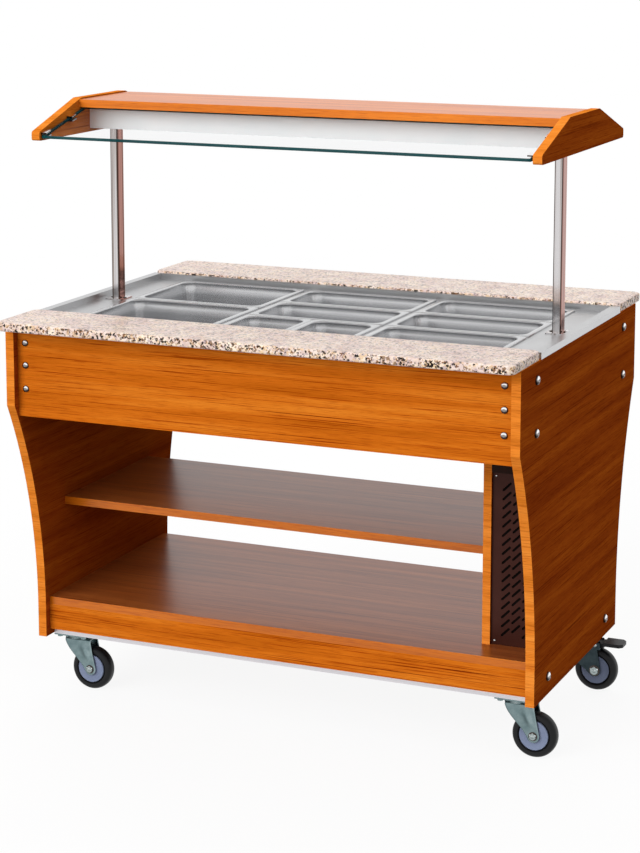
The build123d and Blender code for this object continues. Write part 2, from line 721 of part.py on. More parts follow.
def canopy_post(side):
    """Rectangular tube on a foot plate."""
    tube = rounded_block(POST_WIDTH, POST_DEPTH, POST_CORNER, DECK_TOP, HOUSING_Z)
    tube += rounded_block(
        POST_FOOT_LENGTH, POST_FOOT_DEPTH, POST_CORNER, DECK_TOP, DECK_TOP + POST_FOOT_SHEET
    )
    bore_x, bore_y = POST_WIDTH - 2 * POST_SHEET, POST_DEPTH - 2 * POST_SHEET
    tube -= rounded_block(bore_x, bore_y, POST_CORNER - POST_SHEET, DECK_TOP, HOUSING_Z)
    return Pos(side * POST_X, 0, 0) * tube


def post_screws(side):
    """Screws on the foot plate to the left and right of a post."""
    inset = (POST_FOOT_LENGTH - POST_WIDTH) / 4
    z = DECK_TOP + POST_FOOT_SHEET
    places = [side * POST_X + sign * (POST_WIDTH / 2 + inset) for sign in (-1, 1)]
    return [rod(POST_SCREW_R, (x, 0, z), (x, 0, z + POST_SCREW_HEIGHT)) for x in places]


def canopy_end(side):
    """End board with a blunt nose at the front and rear and a flat ridge."""
    half_depth, half_ridge = CANOPY_END_DEPTH / 2, RIDGE_DEPTH / 2
    profile = Polyline(
        (-half_depth, CANOPY_Z),
        (half_depth, CANOPY_Z),
        (half_depth, CANOPY_Z + NOSE_HEIGHT),
        (half_ridge, CANOPY_HEIGHT),
        (-half_ridge, CANOPY_HEIGHT),
        (-half_depth, CANOPY_Z + NOSE_HEIGHT),
        close=True,
    )
    board = make_face(profile.edges())
    flank = (half_depth + half_ridge) / 2
    ridge = board.vertices().filter_by(lambda v: abs(v.X) < flank)
    board = fillet(ridge, RIDGE_FILLET)
    nose = board.vertices().filter_by(lambda v: abs(v.X) > flank)
    board = fillet(nose, NOSE_FILLET)
    plane = Plane.YZ.offset(side * CANOPY_X)
    return extrude(plane * board, dir=(side, 0, 0), amount=CANOPY_END_THICKNESS)


def canopy_top():
    """Board between the canopy's ends."""
    depth = TOP_BOARD_DEPTH / 2
    return block(-CANOPY_X, CANOPY_X, -depth, depth, TOP_BOARD_Z, TOP_BOARD_Z + BOARD)


def light_housing():
    """Sheet housing under the top board, with a window in its floor."""
    depth = HOUSING_DEPTH / 2
    shell = block(-CANOPY_X, CANOPY_X, -depth, depth, HOUSING_Z, TOP_BOARD_Z)
    inner_x, inner_y = CANOPY_X - HOUSING_SHEET, depth - HOUSING_SHEET
    shell -= block(
        -inner_x, inner_x, -inner_y, inner_y, HOUSING_Z + HOUSING_SHEET, TOP_BOARD_Z - HOUSING_SHEET
    )
    floor_top = HOUSING_Z + HOUSING_SHEET
    return shell - block(-WINDOW_X, WINDOW_X, -WINDOW_Y, WINDOW_Y, HOUSING_Z, floor_top)


def light_diffuser():
    """Translucent strip that lies over the window."""
    half_x, half_y = WINDOW_X + DIFFUSER_LIP, WINDOW_Y + DIFFUSER_LIP
    z = HOUSING_Z + HOUSING_SHEET
    return block(-half_x, half_x, -half_y, half_y, z, z + DIFFUSER_SHEET)


def lamp():
    """Lamp batten fixed to the roof of the housing."""
    z = TOP_BOARD_Z - HOUSING_SHEET
    half_x, half_y = LAMP_LENGTH / 2, LAMP_WIDTH / 2
    return block(-half_x, half_x, -half_y, half_y, z - LAMP_HEIGHT, z)


def glass_frame(end):
    """Plane on the glass's lower edge, with its x direction up the slope."""
    low_y = CANOPY_END_DEPTH / 2 - GLASS_SETBACK
    high_y = HOUSING_DEPTH / 2 + GLASS_HOUSING_GAP
    low = Vector(0, end * low_y, CANOPY_Z + GLASS_LOW_RISE)
    high = Vector(0, end * high_y, CANOPY_Z + GLASS_HIGH_RISE)
    slope = high - low
    return Plane(origin=low, x_dir=slope, z_dir=(1, 0, 0)), slope.length


def glass(end):
    """Sloping pane between the canopy's ends."""
    frame, length = glass_frame(end)
    pane = Pos(length / 2, 0) * Rectangle(length, GLASS_SHEET)
    return extrude(frame * pane, amount=CANOPY_X - GLASS_END_GAP, both=True)


def glass_clip(side, end, row):
    """Clip on the inner face of a canopy end that grips the pane's edge."""
    frame, _ = glass_frame(end)
    along = CLIP_INSET + row * CLIP_PITCH
    height = GLASS_SHEET + 2 * (CLIP_GAP + CLIP_WALL)
    body = Pos(along, 0) * Rectangle(CLIP_LENGTH, height)
    groove = Pos(along, 0) * Rectangle(CLIP_LENGTH, GLASS_SHEET + 2 * CLIP_GAP)
    inner = side * (CANOPY_X - CLIP_REACH)
    depth = CLIP_REACH - GLASS_END_GAP + CLIP_GAP
    body = extrude(frame.offset(inner) * body, dir=(side, 0, 0), amount=CLIP_REACH)
    return body - extrude(frame.offset(inner) * groove, dir=(side, 0, 0), amount=depth)


# Casters


def plate_bolts():
    """Plan positions of the bolts of all four caster plates."""
    half = PLATE_BOLT_SPACING / 2
    return [
        (side * SWIVEL_X + dx, end * SWIVEL_Y + dy)
        for side, end in corners()
        for dx in (-half, half)
        for dy in (-half, half)
    ]


def caster_plate(side, end):
    """Top plate with its ball race, kingpin, nut and four bolts."""
    x, y = side * SWIVEL_X, end * SWIVEL_Y
    half = PLATE_SIZE / 2
    plate = block(x - half, x + half, y - half, y + half, PLATE_Z, CASTER_HEIGHT)
    plate += rod(RACE_R, (x, y, PLATE_Z - RACE_HEIGHT), (x, y, PLATE_Z))
    nut_top = CROWN_Z - FORK_SHEET - RACE_GAP
    plate += rod(KINGPIN_R, (x, y, nut_top - KINGPIN_NUT_HEIGHT), (x, y, PLATE_Z))
    nut = Pos(x, y, nut_top - KINGPIN_NUT_HEIGHT) * RegularPolygon(KINGPIN_NUT_R, NUT_SIDES)
    plate += extrude(nut, amount=KINGPIN_NUT_HEIGHT)
    for bolt_x, bolt_y in plate_bolts():
        if abs(bolt_x - x) < half and abs(bolt_y - y) < half:
            head = Pos(bolt_x, bolt_y, PLATE_Z) * RegularPolygon(PLATE_BOLT_HEAD_R, NUT_SIDES)
            plate += extrude(head, amount=-PLATE_BOLT_HEAD)
            top = CASTER_HEIGHT + FRAME_WALL + PLATE_BOLT_END
            plate += rod(PLATE_BOLT_R, (bolt_x, bolt_y, PLATE_Z), (bolt_x, bolt_y, top))
    return plate


def fork(brake):
    """Pressed fork about its swivel axis, with its axle and, on a brake caster, the pedal's pin."""
    crown_low = CROWN_Z - FORK_SHEET
    cheek = Pos((FORK_REAR - FORK_FRONT) / 2, CROWN_Z - (FORK_SHEET + FORK_CHEEK) / 2)
    cheek = cheek * Rectangle(FORK_FRONT + FORK_REAR, FORK_SHEET + FORK_CHEEK)
    lobe = Pos(FORK_LOBE_R - FORK_FRONT, CROWN_Z - FORK_LOBE_DROP) * Circle(FORK_LOBE_R)
    eye = Pos(TRAIL, WHEEL_R) * Circle(FORK_LEG_R)
    leg = make_hull(cheek.edges() + lobe.edges() + eye.edges())
    if brake:
        ear_end = TRAIL + 2 * PEDAL_BOSS_R
        ear_low = 2 * WHEEL_R
        ear = Rectangle(ear_end, CROWN_Z - ear_low, align=(Align.MIN, Align.MIN))
        leg += Pos(0, ear_low) * ear
    body = extrude(Plane.XZ * leg, amount=FORK_Y, both=True)
    bends = body.edges().filter_by(Axis.X).group_by(Axis.Z)[-1]
    body = fillet(bends, FORK_BEND_R)
    body += Pos(0, 0, crown_low) * extrude(Circle(FORK_CROWN_R), amount=FORK_SHEET)
    reach = FORK_FRONT + TRAIL + WHEEL_R
    body -= block(-reach, reach, -LEG_Y, LEG_Y, 0, crown_low)
    if brake:
        crown_edge = TRAIL - PEDAL_BOSS_R - PEDAL_CROWN_GAP
        body -= block(crown_edge, reach, -LEG_Y, LEG_Y, 0, CROWN_Z)
        body += rod(PEDAL_PIN_R, (TRAIL, -FORK_Y, PEDAL_Z), (TRAIL, FORK_Y, PEDAL_Z))
    kingpin = KINGPIN_R + KINGPIN_FIT
    body -= rod(kingpin, (0, 0, crown_low), (0, 0, CROWN_Z))
    axle = rod(AXLE_R, (TRAIL, -FORK_Y, WHEEL_R), (TRAIL, FORK_Y, WHEEL_R))
    for end in (-1, 1):
        cap = Plane(origin=(TRAIL, end * FORK_Y, WHEEL_R), z_dir=(0, end, 0))
        axle += extrude(cap * RegularPolygon(AXLE_HEAD_R, NUT_SIDES), amount=AXLE_HEAD)
    return body + axle


def tyre():
    """Rubber tyre with sloping shoulders."""
    half, flat = TREAD_WIDTH / 2, TREAD_FLAT / 2
    shoulder = WHEEL_R - TREAD_SHOULDER
    bore = HUB_R + TYRE_FIT
    section = Polyline(
        (bore, -half),
        (shoulder, -half),
        (WHEEL_R, -flat),
        (WHEEL_R, flat),
        (shoulder, half),
        (bore, half),
        close=True,
    )
    ring = revolve(Plane.XY * make_face(section.edges()), Axis.Y)
    return Pos(TRAIL, 0, WHEEL_R) * ring


def hub():
    """Wheel centre with its axle bore."""
    half = HUB_WIDTH / 2
    disc = rod(HUB_R, (TRAIL, -half, WHEEL_R), (TRAIL, half, WHEEL_R))
    return disc - rod(AXLE_R + AXLE_FIT, (TRAIL, -half, WHEEL_R), (TRAIL, half, WHEEL_R))


def brake_pedal():
    """Pedal with a bored boss, a brake shoe, an arm between the fork's ears and a wide tread."""
    z = PEDAL_Z
    boss_half = LEG_Y - FORK_GAP
    boss = rod(PEDAL_BOSS_R, (TRAIL, -boss_half, z), (TRAIL, boss_half, z))
    arm_low = z + PEDAL_BOSS_R - PEDAL_SHEET
    arm_end = TRAIL + PEDAL_ARM
    arm = block(TRAIL, arm_end, -boss_half, boss_half, arm_low, z + PEDAL_BOSS_R)
    shoe_x = TRAIL + SHOE_START
    shoe_y = SHOE_WIDTH / 2
    arm += block(shoe_x, shoe_x + SHOE_LENGTH, -shoe_y, shoe_y, 2 * WHEEL_R + SHOE_GAP, arm_low)
    tread_end = TRAIL + PEDAL_REACH
    half = PEDAL_WIDTH / 2
    plan = Polyline(
        (arm_end, -half),
        (tread_end - PEDAL_CORNER, -half),
        (tread_end, PEDAL_CORNER - half),
        (tread_end, half - PEDAL_CORNER),
        (tread_end - PEDAL_CORNER, half),
        (arm_end, half),
        close=True,
    )
    tread = extrude(Pos(0, 0, arm_low) * make_face(plan.edges()), amount=PEDAL_SHEET + PEDAL_LIFT)
    pedal = boss + arm + tread
    return pedal - rod(PEDAL_PIN_R + PEDAL_PIN_FIT, (TRAIL, -boss_half, z), (TRAIL, boss_half, z))


def save_caster(name, side, end, heading):
    """Write the pieces of one caster, turned about its swivel axis to a heading in degrees."""
    place = Pos(side * SWIVEL_X, end * SWIVEL_Y, 0) * Rot(0, 0, heading)
    brake = end > 0
    save(f"fork_{name}", place * fork(brake))
    save(f"tyre_{name}", place * tyre())
    save(f"hub_{name}", place * hub())
    if brake:
        save(f"brake_pedal_{name}", place * brake_pedal())


save("side_panel_left", side_panel(-1))
save("side_panel_right", side_panel(1))
save("front_fascia", fascia(-1))
save("rear_fascia", fascia(1))
save("plinth_boards", *both_sides(plinth_board))
save("floor_board", floor_board())
save("shelf", shelf())
save("divider", divider())
save("compartment_headers", *both_sides(compartment_header))
save("front_tray_slab", slab(-1))
save("rear_tray_slab", slab(1))
save("corner_brackets", *[corner_bracket(side, end) for side, end in corners()])
save("chassis_frame", chassis_frame())
body_screws = [fascia_screws(side, end) + panel_screws(side, end) for side, end in corners()]
save("panel_screws", *sum(body_screws, []))
save("front_grille", front_grille())
save("control_panel", control_panel())
save("thermostat_body", thermostat_body())
save("thermostat_knob", thermostat_knob())
save("switch_bodies", *[switch_body(x) for x in switch_places()])
save("heat_switch_rocker", rocker(switch_places()[0]))
save("light_switch_rocker", rocker(switch_places()[1]))
save("cable_gland", cable_gland())
save("well_tank", well_tank())
save("cross_bars", *cross_bars())
save_pan_bays()
save("heating_element", *heating_element())
save("canopy_posts", *both_sides(canopy_post))
save("post_screws", *sum(both_sides(post_screws), []))
save("canopy_end_left", canopy_end(-1))
save("canopy_end_right", canopy_end(1))
save("canopy_top", canopy_top())
save("light_housing", light_housing())
save("light_diffuser", light_diffuser())
save("lamp", lamp())
save("front_glass", glass(-1))
save("rear_glass", glass(1))
save("glass_clips", *[glass_clip(side, end, row) for side, end in corners() for row in range(2)])
save("caster_plates", *[caster_plate(side, end) for side, end in corners()])
save_caster("front_left", -1, -1, 0)
save_caster("front_right", 1, -1, 0)
save_caster("rear_left", -1, 1, 180)
save_caster("rear_right", 1, 1, 0)
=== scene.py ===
import json
import logging
import math
from dataclasses import dataclass, replace
from enum import Enum
from typing import Any, Sequence

import bpy
import numpy as np
from mathutils import Matrix, Vector


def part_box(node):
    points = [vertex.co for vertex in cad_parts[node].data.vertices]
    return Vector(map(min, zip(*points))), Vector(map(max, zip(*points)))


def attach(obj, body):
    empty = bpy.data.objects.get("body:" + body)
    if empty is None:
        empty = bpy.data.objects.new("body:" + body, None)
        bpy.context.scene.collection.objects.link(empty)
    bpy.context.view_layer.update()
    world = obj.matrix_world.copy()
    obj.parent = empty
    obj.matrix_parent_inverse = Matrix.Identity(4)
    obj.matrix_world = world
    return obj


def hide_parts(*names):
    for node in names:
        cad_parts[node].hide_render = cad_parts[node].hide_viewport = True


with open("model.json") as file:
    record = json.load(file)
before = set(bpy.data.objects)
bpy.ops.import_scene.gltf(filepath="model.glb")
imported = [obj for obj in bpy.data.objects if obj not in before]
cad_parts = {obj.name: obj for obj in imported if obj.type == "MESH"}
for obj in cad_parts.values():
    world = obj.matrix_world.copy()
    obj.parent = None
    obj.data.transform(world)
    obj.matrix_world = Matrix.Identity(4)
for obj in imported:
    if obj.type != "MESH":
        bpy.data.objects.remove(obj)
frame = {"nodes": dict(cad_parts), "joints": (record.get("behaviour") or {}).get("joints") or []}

Tree = bpy.types.NodeTree
Socket = bpy.types.NodeSocket
Inputs = dict[str | int, Any]
Tones = tuple[str, str, str]
Place = tuple[float, float, float]
Array = np.ndarray

LOG = logging.getLogger("buffet_cart")
MM = 0.001
BLEND: Inputs = {"data_type": "RGBA"}
MULTIPLY: Inputs = {"data_type": "RGBA", "blend_type": "MULTIPLY"}
# Radius in millimetres of the ring that closes a turned shape at its axis.
POLE = 0.02


def srgb(code: str) -> tuple[float, ...]:
    """Turn an sRGB hex code into a linear colour.

    Args:
        code: Six hex digits after a hash sign.

    Returns:
        Red, green, blue and an alpha of one, linear.
    """
    values = np.array([int(code[i : i + 2], 16) for i in (1, 3, 5)]) / 255.0
    linear = np.where(values <= 0.04045, values / 12.92, ((values + 0.055) / 1.055) ** 2.4)
    return (*linear.tolist(), 1.0)


def set_inputs(tree: Tree, node: bpy.types.Node, inputs: Inputs) -> None:
    """Set a node's properties and input values, and link the sockets that feed it.

    Args:
        tree: Node tree of the node.
        node: The node.
        inputs: Values by property, input name or input number. A socket is linked. A ramp's
            "stops" blend and its "steps" don't: both are places with hex codes.
    """
    for key, value in inputs.items():
        if isinstance(value, Socket):
            tree.links.new(value, node.inputs[key])
        elif key in ("stops", "steps"):
            ramp = node.color_ramp
            ramp.interpolation = "LINEAR" if key == "stops" else "CONSTANT"
            while len(ramp.elements) < len(value):
                ramp.elements.new(1.0)
            for element, (place, tone) in zip(ramp.elements, value):
                element.position = place
                element.color = srgb(tone)
        elif isinstance(key, str) and hasattr(node, key):
            setattr(node, key, value)
        else:
            node.inputs[key].default_value = value


def add_node(tree: Tree, kind: str, inputs: Inputs, output: str | int = 0) -> Socket:
    """Add a shader node with its settings and links.

    Args:
        tree: Node tree that gets the node.
        kind: Node type without the ShaderNode prefix.
        inputs: Settings and sockets, as in set_inputs.
        output: Name or number of the wanted output.

    Returns:
        The wanted output of the new node. A node without one gives its last input.
    """
    node = tree.nodes.new("ShaderNode" + kind)
    set_inputs(tree, node, inputs)
    return node.outputs[output] if node.outputs else node.inputs[-1]


def per_mm(size: float) -> float:
    """Scale of a pattern whose features have the given size in millimetres."""
    return 1.0 / (size * MM)


class Axis(Enum):
    """Direction of a grain, a brushing or a lathe's spindle."""

    X = 0
    Y = 1
    Z = 2


def facing(tree: Tree, axis: Axis, both: bool = True) -> Socket:
    """Add how far the surface faces along an axis, by the object's own normals.

    Args:
        tree: Node tree of the material.
        axis: The axis.
        both: Count both ways alike, from nought to one. Otherwise nought is the way back along
            the axis, a half is across it, and one is the way forth.

    Returns:
        The measure.
    """
    part = add_node(tree, "SeparateXYZ", {0: add_node(tree, "TexCoord", {}, "Normal")}, axis.value)
    if both:
        return add_node(tree, "Math", {"operation": "ABSOLUTE", 0: part})
    return add_node(tree, "MapRange", {0: part, 1: -1.0, 2: 1.0})


def streaks(
    tree: Tree, place: Socket, axis: Axis, size: tuple[float, float], shift: float = 0.0, **noise: float
) -> Socket:
    """Add noise drawn out along an axis, as a grain or a brushing is.

    Args:
        tree: Node tree of the material.
        place: Coordinates of the pattern.
        axis: Direction of the streaks.
        size: Length and width of a streak in millimetres.
        shift: Place in the pattern that the piece is cut from.
        noise: Inputs of the noise that aren't at their defaults.

    Returns:
        The noise.
    """
    scale = [per_mm(size[1])] * 3
    scale[axis.value] = per_mm(size[0])
    offset = (shift, shift * 0.7, shift * 1.3)
    drawn = add_node(tree, "Mapping", {"Vector": place, "Scale": scale, "Location": offset})
    return add_node(tree, "TexNoise", {"Vector": drawn, "Scale": 1.0, **noise})


@dataclass(frozen=True)
class Finish:
    """A surface finish that becomes one material.

    Attributes:
        name: Name of the material.
    """

    name: str

    def dress(self, tree: Tree) -> Inputs:
        """Add the pattern's nodes. Each finish has its own.

        Args:
            tree: Node tree of the material.

        Returns:
            Inputs of the Principled shader.
        """
        raise NotImplementedError

    def build(self) -> bpy.types.Material:
        """Make the material once.

        Returns:
            The new material, or the one that was made before.
        """
        known = bpy.data.materials.get(self.name)
        if known is not None and known.get("dressed"):
            return known
        material = bpy.data.materials.new(self.name)
        material.use_nodes = True
        tree = material.node_tree
        set_inputs(tree, tree.nodes["Principled BSDF"], self.dress(tree))
        material["dressed"] = True
        return material


@dataclass(frozen=True)
class TeakLaminate(Finish):
    """Teak-pattern laminate pressed on board: warm orange brown, thin darker lines along the grain.

    The bands along the edges are lighter than the faces, as painted light and shade: the edges
    to the front stand in the light, and the faces of the ends and shelves are painted darker as
    shade. On a board whose grain runs from front to rear, the band has its short grain across the
    edge. Upright boards are matt.
    Shelves and tops are satin, and mirror the bright room at a grazing angle.

    Attributes:
        grain: Direction of the grain on the faces.
        thin: Direction across the board's thickness.
        face: Dark, middle and light tone of the faces, painted darker where they stand in shade.
        band: Dark, middle and light tone of the edge bands.
        contrast: Strength of the dark lines on the faces.
        roughness: Roughness of the surface.
        sheen: Specular level of the surface.
        shift: Place in the pattern that the board is cut from.
    """

    grain: Axis
    thin: Axis
    face: Tones = ("#BA5D0F", "#CF6C17", "#DE7F24")
    band: Tones = ("#D67823", "#E8862D", "#F19339")
    contrast: float = 0.9
    roughness: float = 0.5
    sheen: float = 0.0
    shift: float = 0.0

    def pattern_place(self, tree: Tree, mask: Socket) -> Socket:
        """Coordinates of the pattern. Where the grain runs along Y, the bands swap it with X.

        Args:
            tree: Node tree of the material.
            mask: One on the board's faces, nought on its bands.

        Returns:
            The coordinates.
        """
        place = add_node(tree, "TexCoord", {}, "Object")
        if self.grain is not Axis.Y:
            return place
        swapped = [add_node(tree, "SeparateXYZ", {0: place}, part) for part in (1, 0, 2)]
        band = add_node(tree, "CombineXYZ", dict(enumerate(swapped)))
        return add_node(tree, "Mix", {"data_type": "VECTOR", 0: mask, 4: band, 5: place}, 1)

    def dress(self, tree: Tree) -> Inputs:
        """Figure 26 mm wide, grain lines of 2 mm over 300 mm, and pores of 1.2 mm over 40 mm.

        Printed lines and pores are 0.3 mm wide. They are drawn coarser here, so that they show.

        Args:
            tree: Node tree of the material.

        Returns:
            Inputs of the Principled shader.
        """
        mask = add_node(tree, "Math", {"operation": "GREATER_THAN", 0: facing(tree, self.thin), 1: 0.5})
        place = self.pattern_place(tree, mask)
        noise = {"Roughness": 0.55, "Distortion": 0.15}
        figure, line, pore = (
            streaks(tree, place, self.grain, size, self.shift, Detail=detail, **noise)
            for size, detail in (((700, 26), 4.0), ((300, 2.0), 2.0), ((40, 1.2), 2.0))
        )
        band, face = (
            add_node(tree, "ValToRGB", {"Fac": figure, "stops": list(zip((0.32, 0.50, 0.68), tones))})
            for tones in (self.band, self.face)
        )
        # Painted light and shade: faces and edge bands take their tones by which way they face.
        ground = add_node(tree, "Mix", {**BLEND, 0: mask, 6: band, 7: face}, 2)
        dark = [(0.28, "#6E2A14"), (0.36, "#C28A66"), (0.42, "#FFFFFF")]
        lines = add_node(tree, "ValToRGB", {"Fac": line, "stops": dark})
        pores = add_node(tree, "ValToRGB", {"Fac": pore, "stops": [(0.30, "#B5805A"), (0.50, "#FFFFFF")]})
        share = add_node(tree, "MapRange", {0: mask, 3: 0.25, 4: self.contrast})
        lined = add_node(tree, "Mix", {**MULTIPLY, 0: share, 6: ground, 7: lines}, 2)
        return {
            "Base Color": add_node(tree, "Mix", {**MULTIPLY, 0: 0.55, 6: lined, 7: pores}, 2),
            "Normal": add_node(tree, "Bump", {"Height": pore, "Strength": 0.10, "Distance": 0.2 * MM}),
            "Roughness": self.roughness, "IOR": 1.5, "Specular IOR Level": self.sheen,
        }


@dataclass(frozen=True)
class PolishedGranite(Finish):
    """Speckled pink granite, sawn and polished: cream and mauve crystals with black mica flecks.

    Attributes:
        crystals: Tones of the crystals, each from its place in a draw from nought to one.
        mica: The same for the flecks, where white leaves the crystal as it is.
        chips: The same for the flecks on the sawn edges, which look darker.
    """

    crystals: tuple[tuple[float, str], ...] = (
        (0.00, "#3A312E"), (0.05, "#A08871"), (0.11, "#ECD4B4"), (0.32, "#EDDDD4"),
        (0.52, "#F6EBE6"), (0.74, "#CFC1C3"), (0.83, "#FCF0E0"),
    )
    mica: tuple[tuple[float, str], ...] = ((0.0, "#3E3431"), (0.07, "#B49C88"), (0.13, "#FFFFFF"))
    chips: tuple[tuple[float, str], ...] = ((0.0, "#2A2120"), (0.10, "#9A7B5E"), (0.16, "#FFFFFF"))

    def dress(self, tree: Tree) -> Inputs:
        """Ragged crystals of 5 mm, mica flecks of 3 and 4.3 mm, a cloudy tone of 40 mm, and a painted sheen
        that pales the top.

        Args:
            tree: Node tree of the material.

        Returns:
            Inputs of the Principled shader.
        """
        place = add_node(tree, "TexCoord", {}, "Object")
        ragged = {"Vector": place, "Scale": per_mm(3.846), "Detail": 3.0}
        warp = add_node(tree, "TexNoise", ragged, "Color")
        moved = {"operation": "MULTIPLY_ADD", 0: warp, 1: [6 * MM] * 3, 2: place}
        bent = add_node(tree, "VectorMath", moved)
        layers = []
        draws = ((5.0, self.crystals), (3.03, self.mica), (4.348, self.chips))
        for channel, (size, steps) in enumerate(draws):
            cells = add_node(tree, "TexVoronoi", {"Vector": bent, "Scale": per_mm(size)}, "Color")
            draw = add_node(tree, "SeparateColor", {0: cells}, channel)
            layers.append(add_node(tree, "ValToRGB", {"Fac": draw, "steps": steps}))
        speckled = add_node(tree, "Mix", {**MULTIPLY, 0: 0.9, 6: layers[0], 7: layers[1]}, 2)
        edge = add_node(tree, "Math", {"operation": "LESS_THAN", 0: facing(tree, Axis.Z), 1: 0.6})
        chipped = add_node(tree, "Mix", {**MULTIPLY, 0: edge, 6: speckled, 7: layers[2]}, 2)
        # Painted reflection: the polished top is paled towards a pale mauve, as the bright room mirrored in
        # it.
        painted_top_sheen = add_node(tree, "MapRange", {0: edge, 3: 0.35, 4: 0.0})
        with_painted_sheen = add_node(tree, "Mix", {**BLEND, 0: painted_top_sheen, 6: chipped, 7: srgb("#EBDEDA")}, 2)
        cloud = add_node(tree, "TexNoise", {"Vector": place, "Scale": per_mm(40), "Detail": 3.0})
        mist = add_node(tree, "ValToRGB", {"Fac": cloud, "stops": [(0.35, "#EBDDDD"), (0.65, "#FFFAF2")]})
        return {
            "Base Color": add_node(tree, "Mix", {**MULTIPLY, 0: 1.0, 6: with_painted_sheen, 7: mist}, 2),
            "Roughness": 0.3, "IOR": 1.54, "Specular IOR Level": 0.18,
        }


@dataclass(frozen=True)
class BrushedSteel(Finish):
    """Stainless sheet with a ground finish: fine parallel scratches, soft broad highlights.

    Attributes:
        brushing: Direction of the scratches.
        tone: Darker tone of the scratches.
        roughness: Roughness in the middle of its range.
        scratch: Width of a scratch in millimetres.
    """

    brushing: Axis = Axis.X
    tone: str = "#BDBDBE"
    roughness: float = 0.30
    scratch: float = 0.5

    def dress(self, tree: Tree) -> Inputs:
        """Scratches 60 mm long, and soft hand marks of 91 mm.

        Real scratches are 0.05 mm wide. They are drawn 0.5 mm wide or more, so that they show.

        Args:
            tree: Node tree of the material.

        Returns:
            Inputs of the Principled shader.
        """
        place = add_node(tree, "TexCoord", {}, "Object")
        lines = streaks(tree, place, self.brushing, (60, self.scratch), Detail=2.0)
        marks = add_node(tree, "TexNoise", {"Vector": place, "Scale": per_mm(90.9), "Detail": 2.0})
        low, high = self.roughness - 0.06, self.roughness + 0.08
        tones = [(0.3, self.tone), (0.7, "#CFCFD0")]
        return {
            "Base Color": add_node(tree, "ValToRGB", {"Fac": lines, "stops": tones}),
            "Roughness": add_node(tree, "MapRange", {0: marks, 3: low, 4: high}),
            "Normal": add_node(tree, "Bump", {"Height": lines, "Strength": 0.10, "Distance": 0.05 * MM}),
            "Metallic": 1.0,
        }


@dataclass(frozen=True)
class PolishedSteel(Finish):
    """Mirror-polished stainless tube: silver flats, dark lines along its rounded edges.

    The silver flats and the dark lines along the edges are painted reflections, and the flats
    that face the ends of the cart carry a painted reflection of the warm teak beside them.

    Attributes:
        flat: Painted reflection on the flats that face the front and the rear.
        edge: Painted dark reflection on the rounded edges.
        teak_reflection: Tone of the flats that face the ends.
    """

    flat: str = "#D5D2D3"
    edge: str = "#54423E"
    teak_reflection: str = "#B58277"

    def dress(self, tree: Tree) -> Inputs:
        """Painted reflections: tone by the way the surface faces, and stripes 6 mm wide and a metre long.

        Args:
            tree: Node tree of the material.

        Returns:
            Inputs of the Principled shader.
        """
        place = add_node(tree, "TexCoord", {}, "Object")
        tones = [(0.03, self.flat), (0.30, self.edge), (0.80, self.edge), (0.97, self.teak_reflection)]
        # Painted reflection: silver flats to the front and rear, dark rounded edges, warm teak on the flats
        # to the ends, and dark and silver stripes.
        tint = add_node(tree, "ValToRGB", {"Fac": facing(tree, Axis.X), "stops": tones})
        lines = streaks(tree, place, Axis.Z, (1000, 6), Detail=2.0)
        dark = [(0.40, "#8A7868"), (0.46, "#D2C8C0"), (0.52, "#FFFFFF")]
        shade = add_node(tree, "ValToRGB", {"Fac": lines, "stops": dark})
        return {
            "Base Color": add_node(tree, "Mix", {**MULTIPLY, 0: 0.8, 6: tint, 7: shade}, 2),
            "Metallic": 1.0, "Roughness": 0.12,
        }


@dataclass(frozen=True)
class ChromePlate(Finish):
    """Bright chromium on small turned parts, with painted reflection and shade: bright where it faces up,
    dark where it faces down.

    Attributes:
        tone: Tone of what faces up.
        level: Tone of what faces sideways.
        painted_under_shade: Tone of what faces down.
    """

    tone: str = "#FFFFFF"
    level: str = "#989391"
    painted_under_shade: str = "#3E322E"

    def dress(self, tree: Tree) -> Inputs:
        """Painted reflection and shade by the height of the surface's normal, roughened by polishing marks
        of 0.8 mm.

        Args:
            tree: Node tree of the material.

        Returns:
            Inputs of the Principled shader.
        """
        place = add_node(tree, "TexCoord", {}, "Object")
        marks = add_node(tree, "TexNoise", {"Vector": place, "Scale": per_mm(0.8), "Detail": 2.0})
        tones = [(0.40, self.painted_under_shade), (0.49, self.level), (0.54, self.level), (0.59, self.tone)]
        return {
            "Base Color": add_node(tree, "ValToRGB", {"Fac": facing(tree, Axis.Z, False), "stops": tones}),
            "Roughness": add_node(tree, "MapRange", {0: marks, 3: 0.10, 4: 0.24}),
            "Metallic": 1.0,
        }


